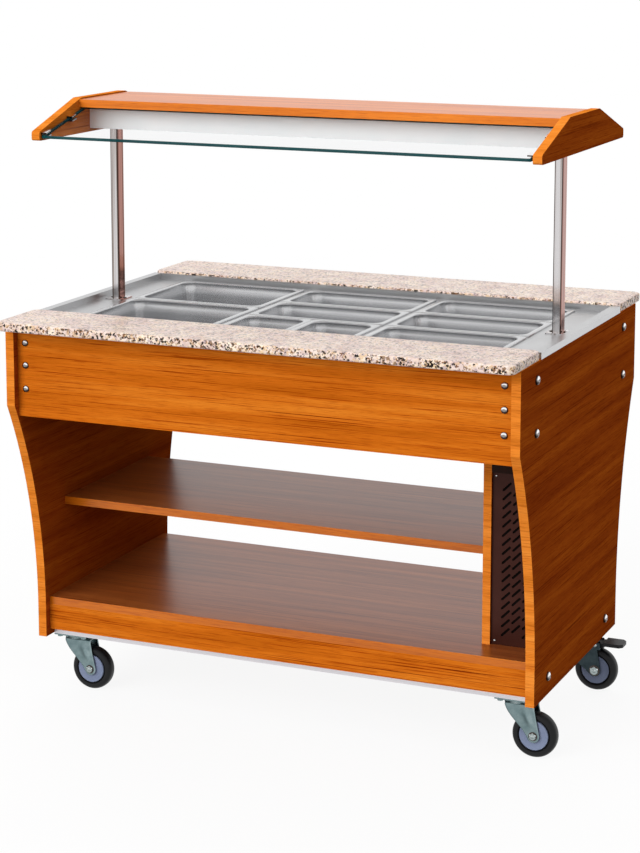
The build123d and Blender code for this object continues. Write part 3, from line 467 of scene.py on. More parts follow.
@dataclass(frozen=True)
class ZincPlate(Finish):
    """Bright zinc plating on pressed steel: blue-grey, with faint cloudy passivation.

    Attributes:
        dark: Darker tone of the clouds.
        light: Lighter tone of the clouds.
    """

    dark: str = "#7C9093"
    light: str = "#99AAAC"

    def dress(self, tree: Tree) -> Inputs:
        """Clouds of 12.5 mm and a grain of 0.6 mm from the bath, and painted shade where it faces away from
        +X.

        The crystals of zinc are under 0.1 mm. They are drawn coarser here, so that they show.

        Args:
            tree: Node tree of the material.

        Returns:
            Inputs of the Principled shader.
        """
        place = add_node(tree, "TexCoord", {}, "Object")
        cloud = add_node(tree, "TexNoise", {"Vector": place, "Scale": per_mm(12.5), "Detail": 2.0})
        tint = add_node(tree, "ValToRGB", {"Fac": cloud, "stops": [(0.25, self.dark), (0.75, self.light)]})
        # Painted light and shade: lighter where the surface faces +X, darker where it faces away.
        tones = [(0.30, "#8A9293"), (0.49, "#DCE1E1"), (0.60, "#FFFFFF")]
        shade = add_node(tree, "ValToRGB", {"Fac": facing(tree, Axis.X, False), "stops": tones})
        grain = add_node(tree, "TexNoise", {"Vector": place, "Scale": per_mm(0.625), "Detail": 1.0})
        return {
            "Base Color": add_node(tree, "Mix", {**MULTIPLY, 0: 1.0, 6: tint, 7: shade}, 2),
            "Normal": add_node(tree, "Bump", {"Height": grain, "Strength": 0.12, "Distance": 0.05 * MM}),
            "Metallic": 1.0, "Roughness": 0.27,
        }


@dataclass(frozen=True)
class AnodisedAluminium(Finish):
    """Satin anodised extrusion: an even silvery white with die lines along its length."""

    def dress(self, tree: Tree) -> Inputs:
        """Die lines along X, drawn 1 mm wide instead of 0.1 mm so that they show.

        Args:
            tree: Node tree of the material.

        Returns:
            Inputs of the Principled shader.
        """
        place = add_node(tree, "TexCoord", {}, "Object")
        lines = streaks(tree, place, Axis.X, (400, 1.0), Detail=2.0)
        tones = [(0.3, "#D0CDD1"), (0.7, "#E4E1E5")]
        return {
            "Base Color": add_node(tree, "ValToRGB", {"Fac": lines, "stops": tones}),
            "Metallic": 0.85, "Roughness": 0.42,
        }


@dataclass(frozen=True)
class Coating(Finish):
    """Sprayed or moulded opaque surface with a fine skin: powder coat, enamel, plastic or rubber.

    Attributes:
        tone: Darker tone.
        second: Lighter tone.
        roughness: Roughness of the surface.
        grit: Width of the skin's bumps in millimetres. Most real ones are 0.1 to 0.3 mm wide, and
            are drawn coarser so that they show.
        relief: Strength of the bumps, which are 0.1 mm high at one.
        ior: Index of refraction.
        sheen: Specular level.
    """

    tone: str
    second: str
    roughness: float
    grit: float
    relief: float
    ior: float = 1.5
    sheen: float = 0.5

    def dress(self, tree: Tree) -> Inputs:
        """Skin bumps of the finish's grit over a change of tone every 71 mm.

        Args:
            tree: Node tree of the material.

        Returns:
            Inputs of the Principled shader.
        """
        place = add_node(tree, "TexCoord", {}, "Object")
        slow = add_node(tree, "TexNoise", {"Vector": place, "Scale": per_mm(71.43), "Detail": 3.0})
        skin = add_node(tree, "TexNoise", {"Vector": place, "Scale": per_mm(self.grit), "Detail": 1.5})
        bumps = {"Height": skin, "Strength": self.relief, "Distance": 0.1 * MM}
        tones = [(0.3, self.tone), (0.7, self.second)]
        return {
            "Base Color": add_node(tree, "ValToRGB", {"Fac": slow, "stops": tones}),
            "Normal": add_node(tree, "Bump", bumps),
            "Roughness": self.roughness, "IOR": self.ior, "Specular IOR Level": self.sheen,
        }


@dataclass(frozen=True)
class FloatGlass(Finish):
    """Clear float glass: almost invisible through its faces, deep teal along its cut edges.

    Attributes:
        tone: Lighter tone of the tint.
        shade: Darker tone.
        cover: Share of what is behind that one surface hides.
        roughness: Roughness of the surface.
        gloss: Specular level.
    """

    tone: str = "#56626E"
    shade: str = "#4A5660"
    cover: float = 0.045
    roughness: float = 0.04
    gloss: float = 0.2

    def dress(self, tree: Tree) -> Inputs:
        """Faint drawing waves of 143 mm in the tint.

        Args:
            tree: Node tree of the material.

        Returns:
            Inputs of the Principled shader.
        """
        place = add_node(tree, "TexCoord", {}, "Object")
        wave = add_node(tree, "TexNoise", {"Vector": place, "Scale": per_mm(142.9), "Detail": 1.0})
        tones = [(0.3, self.shade), (0.7, self.tone)]
        return {
            "Base Color": add_node(tree, "ValToRGB", {"Fac": wave, "stops": tones}),
            "Alpha": self.cover, "Roughness": self.roughness, "IOR": 1.52, "Specular IOR Level": self.gloss,
        }


# Front and rear boards: matt, the clearest orange, since they stand in full light.
FRONT_BOARD = TeakLaminate("", Axis.X, Axis.Y)
# Shelves: satin, with painted shade that makes them browner on top, and bright orange bands to the front.
SHELF_BOARD = TeakLaminate(
    "", Axis.X, Axis.Z, ("#8E4A20", "#9E5626", "#AC622E"), ("#B75E0C", "#C86A0E", "#D47714"),
    roughness=0.28, sheen=0.45,
)
# Ends: faces painted darker and redder as shade, with fainter lines.
END_BOARD = TeakLaminate("", Axis.Y, Axis.X, ("#8A390D", "#9A4510", "#A95214"), contrast=0.55)
# The left canopy end is seen from inside, where it catches more light.
LEFT_END_BOARD = replace(END_BOARD, face=("#AE5C16", "#C06A20", "#D07A2A"))
# Canopy top: satin, and paler than the shelves.
TOP_BOARD = TeakLaminate(
    "", Axis.X, Axis.Z, ("#C86A22", "#D87828", "#E48632"), ("#D2701A", "#E47E22", "#EE8C2C"),
    roughness=0.3, sheen=0.32,
)
# Every board is cut from its own place in the pattern.
TEAK = {
    node: replace(board, name="teak_laminate_" + name, shift=shift)
    for node, board, name, shift in (
        ("front_fascia", FRONT_BOARD, "front_fascia", 0.0),
        ("rear_fascia", FRONT_BOARD, "rear_fascia", 3.1),
        ("plinth_boards", FRONT_BOARD, "plinth", 5.7),
        ("floor_board", SHELF_BOARD, "lower_board", 8.2),
        ("shelf", SHELF_BOARD, "shelf", 11.9),
        ("divider", END_BOARD, "divider", 14.3),
        ("side_panel_left", END_BOARD, "left_panel", 21.4),
        ("side_panel_right", END_BOARD, "right_panel", 26.8),
        ("canopy_end_left", LEFT_END_BOARD, "left_canopy_end", 31.2),
        ("canopy_end_right", END_BOARD, "right_canopy_end", 36.6),
        ("canopy_top", TOP_BOARD, "canopy_top", 41.3),
    )
}
# Sawn granite slabs, polished on top: pink and cream with black specks.
GRANITE = PolishedGranite("polished_granite")
# Ground stainless sheet: grey, with scratches from end to end on the deck, across on the bars.
DECK_STEEL = BrushedSteel("ground_stainless_deck")
BAR_STEEL = BrushedSteel("ground_stainless_bars", Axis.Y, "#C6C6C7", 0.24)
# Drawn stainless sheet: smoother and a little brighter than the deck.
PAN_STEEL = BrushedSteel("drawn_stainless_pan", Axis.X, "#C4C5C7", 0.22, 0.7)
# Heater tube, dulled brown-grey by its own heat.
ELEMENT_STEEL = BrushedSteel("heater_tube_steel", Axis.X, "#8A8580", 0.4)
# Drawn and polished tube of the posts, with painted reflections in dark and silver stripes.
POST_STEEL = PolishedSteel("polished_stainless_tube")
# Chromed screw heads, and the ring round them painted dark as shadow.
SCREW_CHROME = ChromePlate("chromed_screw_steel")
SCREW_RIM = ChromePlate("painted_shadow_screw_rim", "#77706D", "#4E4642", "#231D1B")
# Zinc-plated steel: bright on bolts, plates and races. The bolts carry painted reflection, bright up
# and dark down, and the rear forks are painted dark as the shade of the cart above them.
BOLT_ZINC = ChromePlate("bright_zinc_bolt", "#F4FAFA", "#9DA8A8", "#4A5454")
ZINC = ZincPlate("bright_zinc_plate")
ZINC_SHADED = ZincPlate("painted_shade_zinc_plate", "#323B3F", "#434D51")
ZINC_RACE = ZincPlate("bright_zinc_race", "#A9B6B8", "#D6DEDF")
# Anodised aluminium angle: a silvery strip under the plinth.
ALUMINIUM = AnodisedAluminium("satin_anodised_aluminium")
# Stoved powder coat on sheet steel: brown-black with a fine orange peel.
POWDER = Coating("brown_black_powder_coat", "#33160F", "#3C1E17", 0.45, 0.9, 0.25, sheen=0.16)
# Compartment headers: brown-black and almost without gloss, painted dark as the shade that they stand in.
HEADER_SHADE_BOARD = Coating("painted_shade_header_board", "#1E100C", "#2A1812", 0.6, 1.4, 0.1, sheen=0.1)
# Stove enamel on the folded housing: smooth, glossy, cool white.
WHITE_PAINT = Coating("white_stove_enamel", "#F4FAFC", "#FBFEFF", 0.28, 3.0, 0.05)
# Extruded acrylic of the lamp window: milky and smooth.
OPAL = Coating("opal_acrylic_sheet", "#E4EAEB", "#EFF3F3", 0.35, 4.0, 0.03, 1.49)
# Nylon moulded in a spark-eroded mould: black with a dull fine texture.
BLACK_PLASTIC = Coating("black_moulded_nylon", "#18181A", "#212124", 0.42, 0.7, 0.25, sheen=0.22)
# Black sheet behind the grille's slots: painted shade that gives back no light.
SLOT_SHADE_SHEET = Coating("painted_shade_behind_slots", "#080605", "#0E0A09", 0.8, 1.6, 0.4, sheen=0.05)
# Polycarbonate rockers, moulded glossy.
RED_PLASTIC = Coating("red_rocker_plastic", "#8E1410", "#A31B14", 0.25, 2.0, 0.05)
GREEN_PLASTIC = Coating("green_rocker_plastic", "#0F6A2A", "#147A33", 0.25, 2.0, 0.05)
# Screen-printed ink of the dial marks: flat white.
MARK_PRINT = Coating("white_panel_print", "#E8E8E4", "#F2F2EE", 0.5, 1.5, 0.05)
# Polypropylene wheel centres: grey-blue with a dull skin.
HUB_PLASTIC = Coating("grey_blue_moulded_hub", "#727C96", "#7F89A3", 0.45, 1.2, 0.12, sheen=0.2)
# Vulcanised rubber: black with soft broad highlights, and duller in the bead ring.
RUBBER = Coating("black_tyre_rubber", "#0B0B0D", "#121214", 0.38, 0.8, 0.3, sheen=0.25)
DARK_BEAD = Coating("black_bead_ring", "#08080A", "#101012", 0.6, 0.8, 0.2, sheen=0.1)
# Float glass: clear through the faces, teal where the ground edge shows the iron in it.
CLEAR_GLASS = FloatGlass("clear_float_glass")
GLASS_EDGE = FloatGlass("cut_glass_edge", "#0A4A4C", "#063A3E", 0.98, 0.2, 0.06)


def box_mm(node: str) -> tuple[Array, Array]:
    """Lowest and highest corner of a CAD node, in millimetres."""
    low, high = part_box(node)
    return np.array(low) / MM, np.array(high) / MM


def points_mm(node: str) -> Array:
    """Read the points of a CAD node's mesh.

    Args:
        node: Name of the node.

    Returns:
        Rows of three coordinates in millimetres.
    """
    vertices = frame["nodes"][node].data.vertices
    points = np.empty(len(vertices) * 3)
    vertices.foreach_get("co", points)
    return points.reshape(-1, 3) / MM


def joint_mm(name: str) -> Array:
    """Place of a joint in millimetres."""
    joint = next(joint for joint in frame["joints"] if joint["name"] == name)
    return np.array(joint["pos_m"]) / MM


def grid_quads(rows: int, columns: int, closed: bool = False) -> Array:
    """Number the corners of a grid's quads. The last column joins the first.

    Args:
        rows: Number of rows.
        columns: Number of columns.
        closed: Join the last row to the first.

    Returns:
        Four point numbers for each quad.
    """
    index = np.arange(rows * columns).reshape(rows, columns)
    if closed:
        index = np.vstack([index, index[:1]])
    index = np.hstack([index, index[:, :1]])
    corners = [index[:-1, :-1], index[:-1, 1:], index[1:, 1:], index[1:, :-1]]
    return np.stack(corners, axis=-1).reshape(-1, 4)


class MeshBuilder:
    """Collects grids of points into one mesh.

    Attributes:
        name: Name of the piece.
        points: Points of each grid, in metres.
        faces: Corners of the faces.
        slots: Material slot of each face.
        count: Number of points so far.
    """

    def __init__(self, name: str) -> None:
        """Start an empty mesh.

        Args:
            name: Name of the piece.
        """
        self.name = name
        self.points: list[Array] = []
        self.faces: list[tuple[int, ...]] = []
        self.slots: list[int] = []
        self.count = 0

    def add_grid(self, grid: Array, closed: bool = False, caps: bool = False, slot: int = 0) -> None:
        """Add a grid of points as quads that face outwards. Its last column joins its first.

        The signed volume of the quads, the sum over the faces of their middle, as seen from the
        grid's middle, times the cross product of their diagonals, tells which way the grid
        faces, and a negative sum turns every face round.

        Args:
            grid: Rows by columns by three coordinates, in metres.
            closed: Join the last row to the first.
            caps: Close the first and the last row with one flat face each.
            slot: Material slot of the faces.
        """
        rows, columns = grid.shape[:2]
        quads = grid_quads(rows, columns, closed)
        flat = grid.reshape(-1, 3)
        corner = flat[quads] - flat.mean(axis=0)
        diagonals = np.cross(corner[:, 2] - corner[:, 0], corner[:, 3] - corner[:, 1])
        volume = float(np.einsum("ij,ij->", corner.mean(axis=1), diagonals))
        last = np.arange((rows - 1) * columns, rows * columns)
        ends = [np.arange(columns)[::-1].tolist(), last.tolist()] if caps else []
        if volume < 0:
            quads = quads[:, ::-1]
            ends = [end[::-1] for end in ends]
        self.faces += [tuple(face) for face in (quads + self.count).tolist()]
        self.faces += [tuple(i + self.count for i in end) for end in ends]
        self.slots += [slot] * (len(quads) + len(ends))
        self.points.append(flat)
        self.count += len(flat)

    def build(
        self, body: str, slot: str, finishes: Sequence[Finish], replaced: Sequence[str] = (),
        crease: float = 30.0,
    ) -> None:
        """Make the piece and hang it on its body.

        Args:
            body: Body that the piece rides on.
            slot: Not used.
            finishes: Finishes of the mesh's material slots.
            replaced: Nodes that the piece stands for.
            crease: Angle in degrees above which an edge stays sharp.
        """
        mesh = bpy.data.meshes.new(self.name)
        mesh.from_pydata(np.vstack(self.points).tolist(), [], self.faces)
        mesh.polygons.foreach_set("material_index", self.slots)
        mesh.polygons.foreach_set("use_smooth", [True] * len(self.faces))
        mesh.set_sharp_from_angle(angle=math.radians(crease))
        for finish in finishes:
            mesh.materials.append(finish.build())
        mesh.update()
        piece = bpy.data.objects.new(self.name, mesh)
        bpy.context.scene.collection.objects.link(piece)
        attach(piece, body)
        if replaced:
            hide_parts(*replaced)
        LOG.info("%s: %d points, %d faces, on %s", self.name, self.count, len(self.faces), body)


def rounded_rings(half_x: Array, half_y: Array, radius: Array, height: Array) -> Array:
    """Stack rounded rectangles into a grid.

    Each ring is four quarter circles of the ring's radius, whose middles lie one radius inside
    the corners of the rectangle, joined by straight sides.

    Args:
        half_x: Half widths, one per ring, in millimetres.
        half_y: Half depths.
        radius: Corner radii.
        height: Heights of the rings.

    Returns:
        Rings by points by three coordinates, in metres.
    """
    sweep = np.linspace(0.0, math.pi / 2, 9)
    angle = (sweep[None, :] + np.arange(4)[:, None] * math.pi / 2).ravel()
    sign_x = np.repeat([1.0, -1.0, -1.0, 1.0], len(sweep))
    sign_y = np.repeat([1.0, 1.0, -1.0, -1.0], len(sweep))
    x = sign_x * (half_x - radius)[:, None] + radius[:, None] * np.cos(angle)
    y = sign_y * (half_y - radius)[:, None] + radius[:, None] * np.sin(angle)
    return np.stack([x, y, np.broadcast_to(height[:, None], x.shape)], axis=-1) * MM


def turned(profile: Array, axis: Axis, centre: Sequence[float], sides: int, facets: int = 0) -> Array:
    """Turn a profile about an axis, as on a lathe.

    A point of radius r and place a on the profile goes round the axis at that radius. With
    facets, the rings of negative radius are polygons with that many flat sides instead of circles.

    Args:
        profile: Rows of radius and place along the axis, in millimetres.
        axis: Spindle direction.
        centre: Point on the axis, in millimetres.
        sides: Points round the axis.
        facets: Flat sides of the rings of negative radius.

    Returns:
        Rows by sides by three coordinates, in metres.
    """
    angle = np.arange(sides) * 2 * math.pi / sides
    radius = np.abs(profile[:, :1]) * np.ones(sides)
    if facets:
        half = math.pi / facets
        flat = math.cos(half) / np.cos(np.mod(angle, 2 * half) - half)
        radius = np.where(profile[:, :1] < 0, radius * flat, radius)
    along = profile[:, 1:] * np.ones(sides)
    first, second = radius * np.cos(angle), radius * np.sin(angle)
    parts = np.stack([along, first, second], axis=-1)
    return (np.roll(parts, axis.value, axis=-1) + np.array(centre)) * MM


def both_sides(half: Sequence[Sequence[float]]) -> Array:
    """Close half a profile of radius and place by its mirror image on the other side."""
    return np.vstack([half, np.array(half)[::-1] * [1.0, -1.0]])


def dress_nodes(finish: Finish, *nodes: str) -> None:
    """Give CAD nodes a finish through their own material slots.

    Args:
        finish: Finish for all the nodes.
        nodes: Names of the nodes.
    """
    material = finish.build()
    for name in nodes:
        piece = frame["nodes"][name]
        if not piece.material_slots:
            piece.data.materials.append(material)
        for slot in piece.material_slots:
            slot.material = material
        LOG.info("%s: %s", name, material.name)


@dataclass
class Studio:
    """Camera, lamps, floor and bright surroundings.

    Attributes:
        eye: Place of the camera in millimetres.
        turn: Compass turn of the view from +Y towards -X, in degrees.
        tilt: Fall of the view below level, in degrees.
        focal: Focal length in pixels.
        shift: Rise of the picture's middle over the view's axis, in pixels.
        long_side: Longer side of the picture in pixels.
        ambient: Grey level of the surroundings where they only light the cart.
        ceiling: Height of the heading where the seen surroundings begin and cease to darken, and
            their level at both.
        floor: Radii of the floor's rings in metres.
        lamps: Name, level on a white surface that faces it, travel and spread in degrees of each lamp.
    """

    eye: Place = (1981.84, -4627.55, 1805.66)
    turn: float = 23.428
    tilt: float = 9.118
    focal: float = 2263.05
    shift: float = 165.0
    long_side: float = 853.0
    ambient: float = 0.28
    ceiling: tuple[float, float, float, float] = (0.40, 0.85, 1.0, 0.58)
    floor: tuple[float, ...] = (0.001, 1.5, 4.0, 12.0, 40.0)
    lamps: tuple[tuple[str, float, Place, float], ...] = (
        ("key_lamp", 0.86, (0.38, 0.86, -0.35), 50.0),
        ("top_lamp", 0.24, (0.0, 0.0, -1.0), 90.0),
        ("rear_lamp", 0.36, (0.35, -0.75, -0.56), 60.0),
        ("side_lamp", 0.22, (-0.85, 0.25, -0.46), 60.0),
    )

    def add_camera(self) -> None:
        """Place the camera at the photograph's point of view."""
        data = bpy.data.cameras.new("camera")
        data.sensor_width = 36.0
        data.lens = self.focal * data.sensor_width / self.long_side
        data.shift_y = -self.shift / self.long_side
        data.clip_end = 100.0
        camera = bpy.data.objects.new("camera", data)
        bpy.context.scene.collection.objects.link(camera)
        turn, tilt = math.radians(self.turn), math.radians(self.tilt)
        camera.matrix_world = (
            Matrix.Translation([v * MM for v in self.eye])
            @ Matrix.Rotation(turn, 4, "Z")
            @ Matrix.Rotation(math.pi / 2 - tilt, 4, "X")
        )
        bpy.context.scene.camera = camera

    def add_lamps(self) -> None:
        """Add distant soft lamps that don't show in polished surfaces."""
        for name, level, towards, spread in self.lamps:
            data = bpy.data.lights.new(name, "SUN")
            data.energy = level * math.pi
            data.angle = math.radians(spread)
            lamp = bpy.data.objects.new(name, data)
            bpy.context.scene.collection.objects.link(lamp)
            lamp.rotation_mode = "QUATERNION"
            lamp.rotation_quaternion = Vector(towards).to_track_quat("-Z", "Y")
            lamp.visible_glossy = False

    def seen_rays(self, tree: Tree) -> Socket:
        """Mask of the rays that show the surroundings.

        Args:
            tree: Node tree of the world or the floor.

        Returns:
            One for camera, gloss and transmission rays, nought for others.
        """
        mask = add_node(tree, "LightPath", {}, "Is Camera Ray")
        for ray in ("Is Glossy Ray", "Is Transmission Ray"):
            seen = add_node(tree, "LightPath", {}, ray)
            mask = add_node(tree, "Math", {"operation": "MAXIMUM", 0: mask, 1: seen})
        return mask

    def add_surroundings(self) -> None:
        """White where it is seen, darker overhead, and a plain grey where it only lights the cart."""
        world = bpy.data.worlds.new("studio")
        world.use_nodes = True
        tree = world.node_tree
        tree.nodes.clear()
        height = add_node(tree, "SeparateXYZ", {0: add_node(tree, "TexCoord", {}, "Generated")}, 2)
        level = add_node(tree, "MapRange", {0: height, **dict(enumerate(self.ceiling, 1))})
        mixed = {"data_type": "FLOAT", 0: self.seen_rays(tree), 2: self.ambient, 3: level}
        strength = add_node(tree, "Mix", mixed)
        light = add_node(tree, "Background", {"Color": srgb("#FFFFFF"), "Strength": strength})
        add_node(tree, "OutputWorld", {"Surface": light})
        bpy.context.scene.world = world

    def add_floor(self) -> None:
        """Wide white floor that keeps the cart's soft shadow: rings of points round the middle."""
        radii = np.array(self.floor)[:, None]
        angle = np.arange(64) * 2 * math.pi / 64
        rings = np.stack([radii * np.cos(angle), radii * np.sin(angle), radii * angle * 0.0], axis=-1)
        quads = grid_quads(len(radii), 64)[:, [0, 3, 2, 1]]
        mesh = bpy.data.meshes.new("studio_floor")
        mesh.from_pydata(rings.reshape(-1, 3).tolist(), [], [*quads.tolist(), list(range(64))])
        floor = bpy.data.objects.new("studio_floor", mesh)
        bpy.context.scene.collection.objects.link(floor)
        material = bpy.data.materials.new("white_studio_floor")
        material.use_nodes = True
        tree = material.node_tree
        tree.nodes.clear()
        place = add_node(tree, "TexCoord", {}, "Object")
        cloud = add_node(tree, "TexNoise", {"Vector": place, "Scale": per_mm(333.3)})
        tone = add_node(tree, "ValToRGB", {"Fac": cloud, "stops": [(0.3, "#F2F2F2"), (0.7, "#F6F6F6")]})
        lit = add_node(tree, "BsdfDiffuse", {"Color": tone})
        white = add_node(tree, "Emission", {"Strength": 1.0})
        shown = add_node(tree, "MixShader", {0: 0.90, 1: lit, 2: white})
        dim = add_node(tree, "BsdfDiffuse", {"Color": srgb("#8C8A88")})
        both = add_node(tree, "MixShader", {0: self.seen_rays(tree), 1: dim, 2: shown})
        add_node(tree, "OutputMaterial", {"Surface": both})
        mesh.materials.append(material)

    def build(self) -> None:
        """Make the whole studio and set the view transform."""
        self.add_camera()
        self.add_lamps()
        self.add_surroundings()
        self.add_floor()
        bpy.context.scene.view_settings.view_transform = "Standard"
        LOG.info("studio: camera, %d lamps, floor and surroundings", len(self.lamps))


@dataclass
class WoodenBody:
    """Laminated boards, stone slabs, chassis frame and grille, which keep their CAD shapes.

    Attributes:
        screen: Thickness of the black sheet of painted shade in millimetres.
        sheet: Thickness of the grille's sheet.
        gap: Distance between the two.
        inset: Distance of the screen's edges from the grille's.
        corner: Corner radius of the screen.
    """

    screen: float = 0.8
    sheet: float = 1.5
    gap: float = 0.2
    inset: float = 4.0
    corner: float = 3.0

    def build_slot_shade(self) -> None:
        """Put a thin black sheet behind the grille's slots as painted shade: a rounded rectangle with a
        thickness.
        """
        low, high = box_mm("front_grille")
        half, middle = (high - low) / 2 - self.inset, (low + high) / 2 * MM
        near = low[1] + self.sheet + self.gap
        depth = np.array([near, near + self.screen])
        flat = rounded_rings(np.full(2, half[0]), np.full(2, half[2]), np.full(2, self.corner), depth)
        place = np.stack([flat[..., 0] + middle[0], flat[..., 2], flat[..., 1] + middle[2]], axis=-1)
        mesh = MeshBuilder("slot_shade_sheet")
        mesh.add_grid(place, caps=True)
        mesh.build("cart_body", "black_plastic", [SLOT_SHADE_SHEET])

    def dress(self) -> None:
        """Give every board its own piece of the teak pattern, and the rest their finishes."""
        for node, finish in TEAK.items():
            dress_nodes(finish, node)
        # The headers are painted dark as shade.
        dress_nodes(HEADER_SHADE_BOARD, "compartment_headers")
        dress_nodes(GRANITE, "front_tray_slab", "rear_tray_slab")
        dress_nodes(ZINC, "corner_brackets")
        dress_nodes(ALUMINIUM, "chassis_frame")
        dress_nodes(POWDER, "front_grille", "control_panel")
        self.build_slot_shade()


@dataclass
class SocketScrews:
    """Domed chromed screws with a hexagon socket, and a rim painted dark as shadow.

    Attributes:
        radius: Head radius in millimetres.
        height: Head height.
        socket: Socket's corner radius.
        depth: Socket's depth.
        growth: Size of the heads on the side panels, relative to the others.
        skirt: Share of the height that is an upright skirt.
        rim: Share of the dome's quarter turn that belongs to the rim painted dark as shadow.
        crown: Share of the quarter turn at which the flat crown begins.
        cell: Spacing in millimetres at which the CAD heads are looked for.
        reach: Distance from the middle of a cell to the points of its head.
        apart: Least distance between two heads.
    """

    radius: float = 7.5
    height: float = 5.0
    socket: float = 1.5
    depth: float = 1.0
    growth: float = 1.0
    skirt: float = 0.30
    rim: float = 0.30
    crown: float = 0.75
    cell: float = 30.0
    reach: float = 22.0
    apart: float = 14.0

    def dome(self, start: float, end: float, steps: int) -> Array:
        """Profile of a quarter ellipse over a short upright skirt.

        The ellipse is as wide as the head and as high as the head less its skirt.

        Args:
            start: First share of the quarter turn.
            end: Last share.
            steps: Number of rows.

        Returns:
            Rows of radius and height in millimetres.
        """
        skirt = self.skirt * self.height
        angle = np.linspace(start, end, steps) * math.pi / 2
        height = skirt + (self.height - skirt) * np.sin(angle)
        return np.stack([self.radius * np.cos(angle), height], axis=-1)

    def add_head(self, mesh: MeshBuilder, place: Sequence[float], axis: Axis, sign: float) -> None:
        """Add one head that faces along an axis: a rim ring painted dark as shadow, and the bright dome
        with its socket.

        Args:
            mesh: Builder that gets the faces.
            place: Middle of the seat in millimetres.
            axis: Axis of the screw.
            sign: Plus or minus one, the way that the head faces.
        """
        edge = self.dome(0.0, self.rim, 5)
        dome = self.dome(self.rim, self.crown, 8)
        lip, low = dome[-1, 1], self.height - self.depth
        middle = [POLE, edge[-1, 1]]
        rim = np.vstack([[[POLE, 0.0], [self.radius, 0.0]], edge, [middle]])
        cap = np.vstack([[middle], dome, [[-self.socket, lip], [-self.socket, low], [-POLE, low]]])
        for slot, profile in ((1, rim), (0, cap)):
            mesh.add_grid(turned(profile * [1.0, sign], axis, place, 24, 6), caps=True, slot=slot)

    def seats(self, node: str) -> list[tuple[Array, Axis, float]]:
        """Find the seats of a node's screw heads.

        Points within reach of the middle of a cell belong to one head. A head's shortest side is
        its axis, and its seat is the end nearer to the middle of the cart, or the lower end of an
        upright one.

        Args:
            node: Name of a CAD node of separate screw heads.

        Returns:
            Seat in millimetres, axis and sign of every head.
        """
        points = points_mm(node)
        middles: list[Array] = []
        found = []
        for cell in np.unique(np.round(points / self.cell), axis=0) * self.cell:
            near = points[np.abs(points - cell).max(axis=1) < self.reach]
            low, high = near.min(axis=0), near.max(axis=0)
            seat = (low + high) / 2
            if any(np.abs(seat - middle).max() < self.apart for middle in middles):
                continue
            middles.append(seat.copy())
            axis = Axis(int(np.argmin(high - low)))
            sign = 1.0 if axis is Axis.Z or seat[axis.value] > 0 else -1.0
            seat[axis.value] = low[axis.value] if sign > 0 else high[axis.value]
            found.append((seat, axis, sign))
        return found

    def finish(self, mesh: MeshBuilder, replaced: Sequence[str] = ()) -> None:
        """Make the piece of the screws that the builder holds."""
        mesh.build("cart_body", "screw_chrome", [SCREW_CHROME, SCREW_RIM], replaced, 40.0)

    def build(self, name: str, node: str) -> None:
        """Replace a CAD node of plain heads by shaped ones.

        Args:
            name: Name of the piece.
            node: CAD node that it replaces.
        """
        mesh = MeshBuilder(name)
        sizes = np.array([self.radius, self.height, self.socket, self.depth]) * self.growth
        larger = SocketScrews(*sizes.tolist())
        for seat, axis, sign in self.seats(node):
            (larger if axis is Axis.X else self).add_head(mesh, seat, axis, sign)
        self.finish(mesh, [node])

    def build_corners(self, name: str, node: str, sign: float, inset: float = 8.0) -> None:
        """Fix the face of a sheet metal tray at its four corners.

        Args:
            name: Name of the piece.
            node: CAD node of the tray.
            sign: Minus one for a tray that faces the front, plus one for the rear.
            inset: Distance of the screws from the tray's edges in millimetres.
        """
        low, high = box_mm(node)
        face = high[1] if sign > 0 else low[1]
        mesh = MeshBuilder(name)
        for x in (low[0] + inset, high[0] - inset):
            for z in (low[2] + inset, high[2] - inset):
                self.add_head(mesh, (x, face, z), Axis.Y, sign)
        self.finish(mesh)


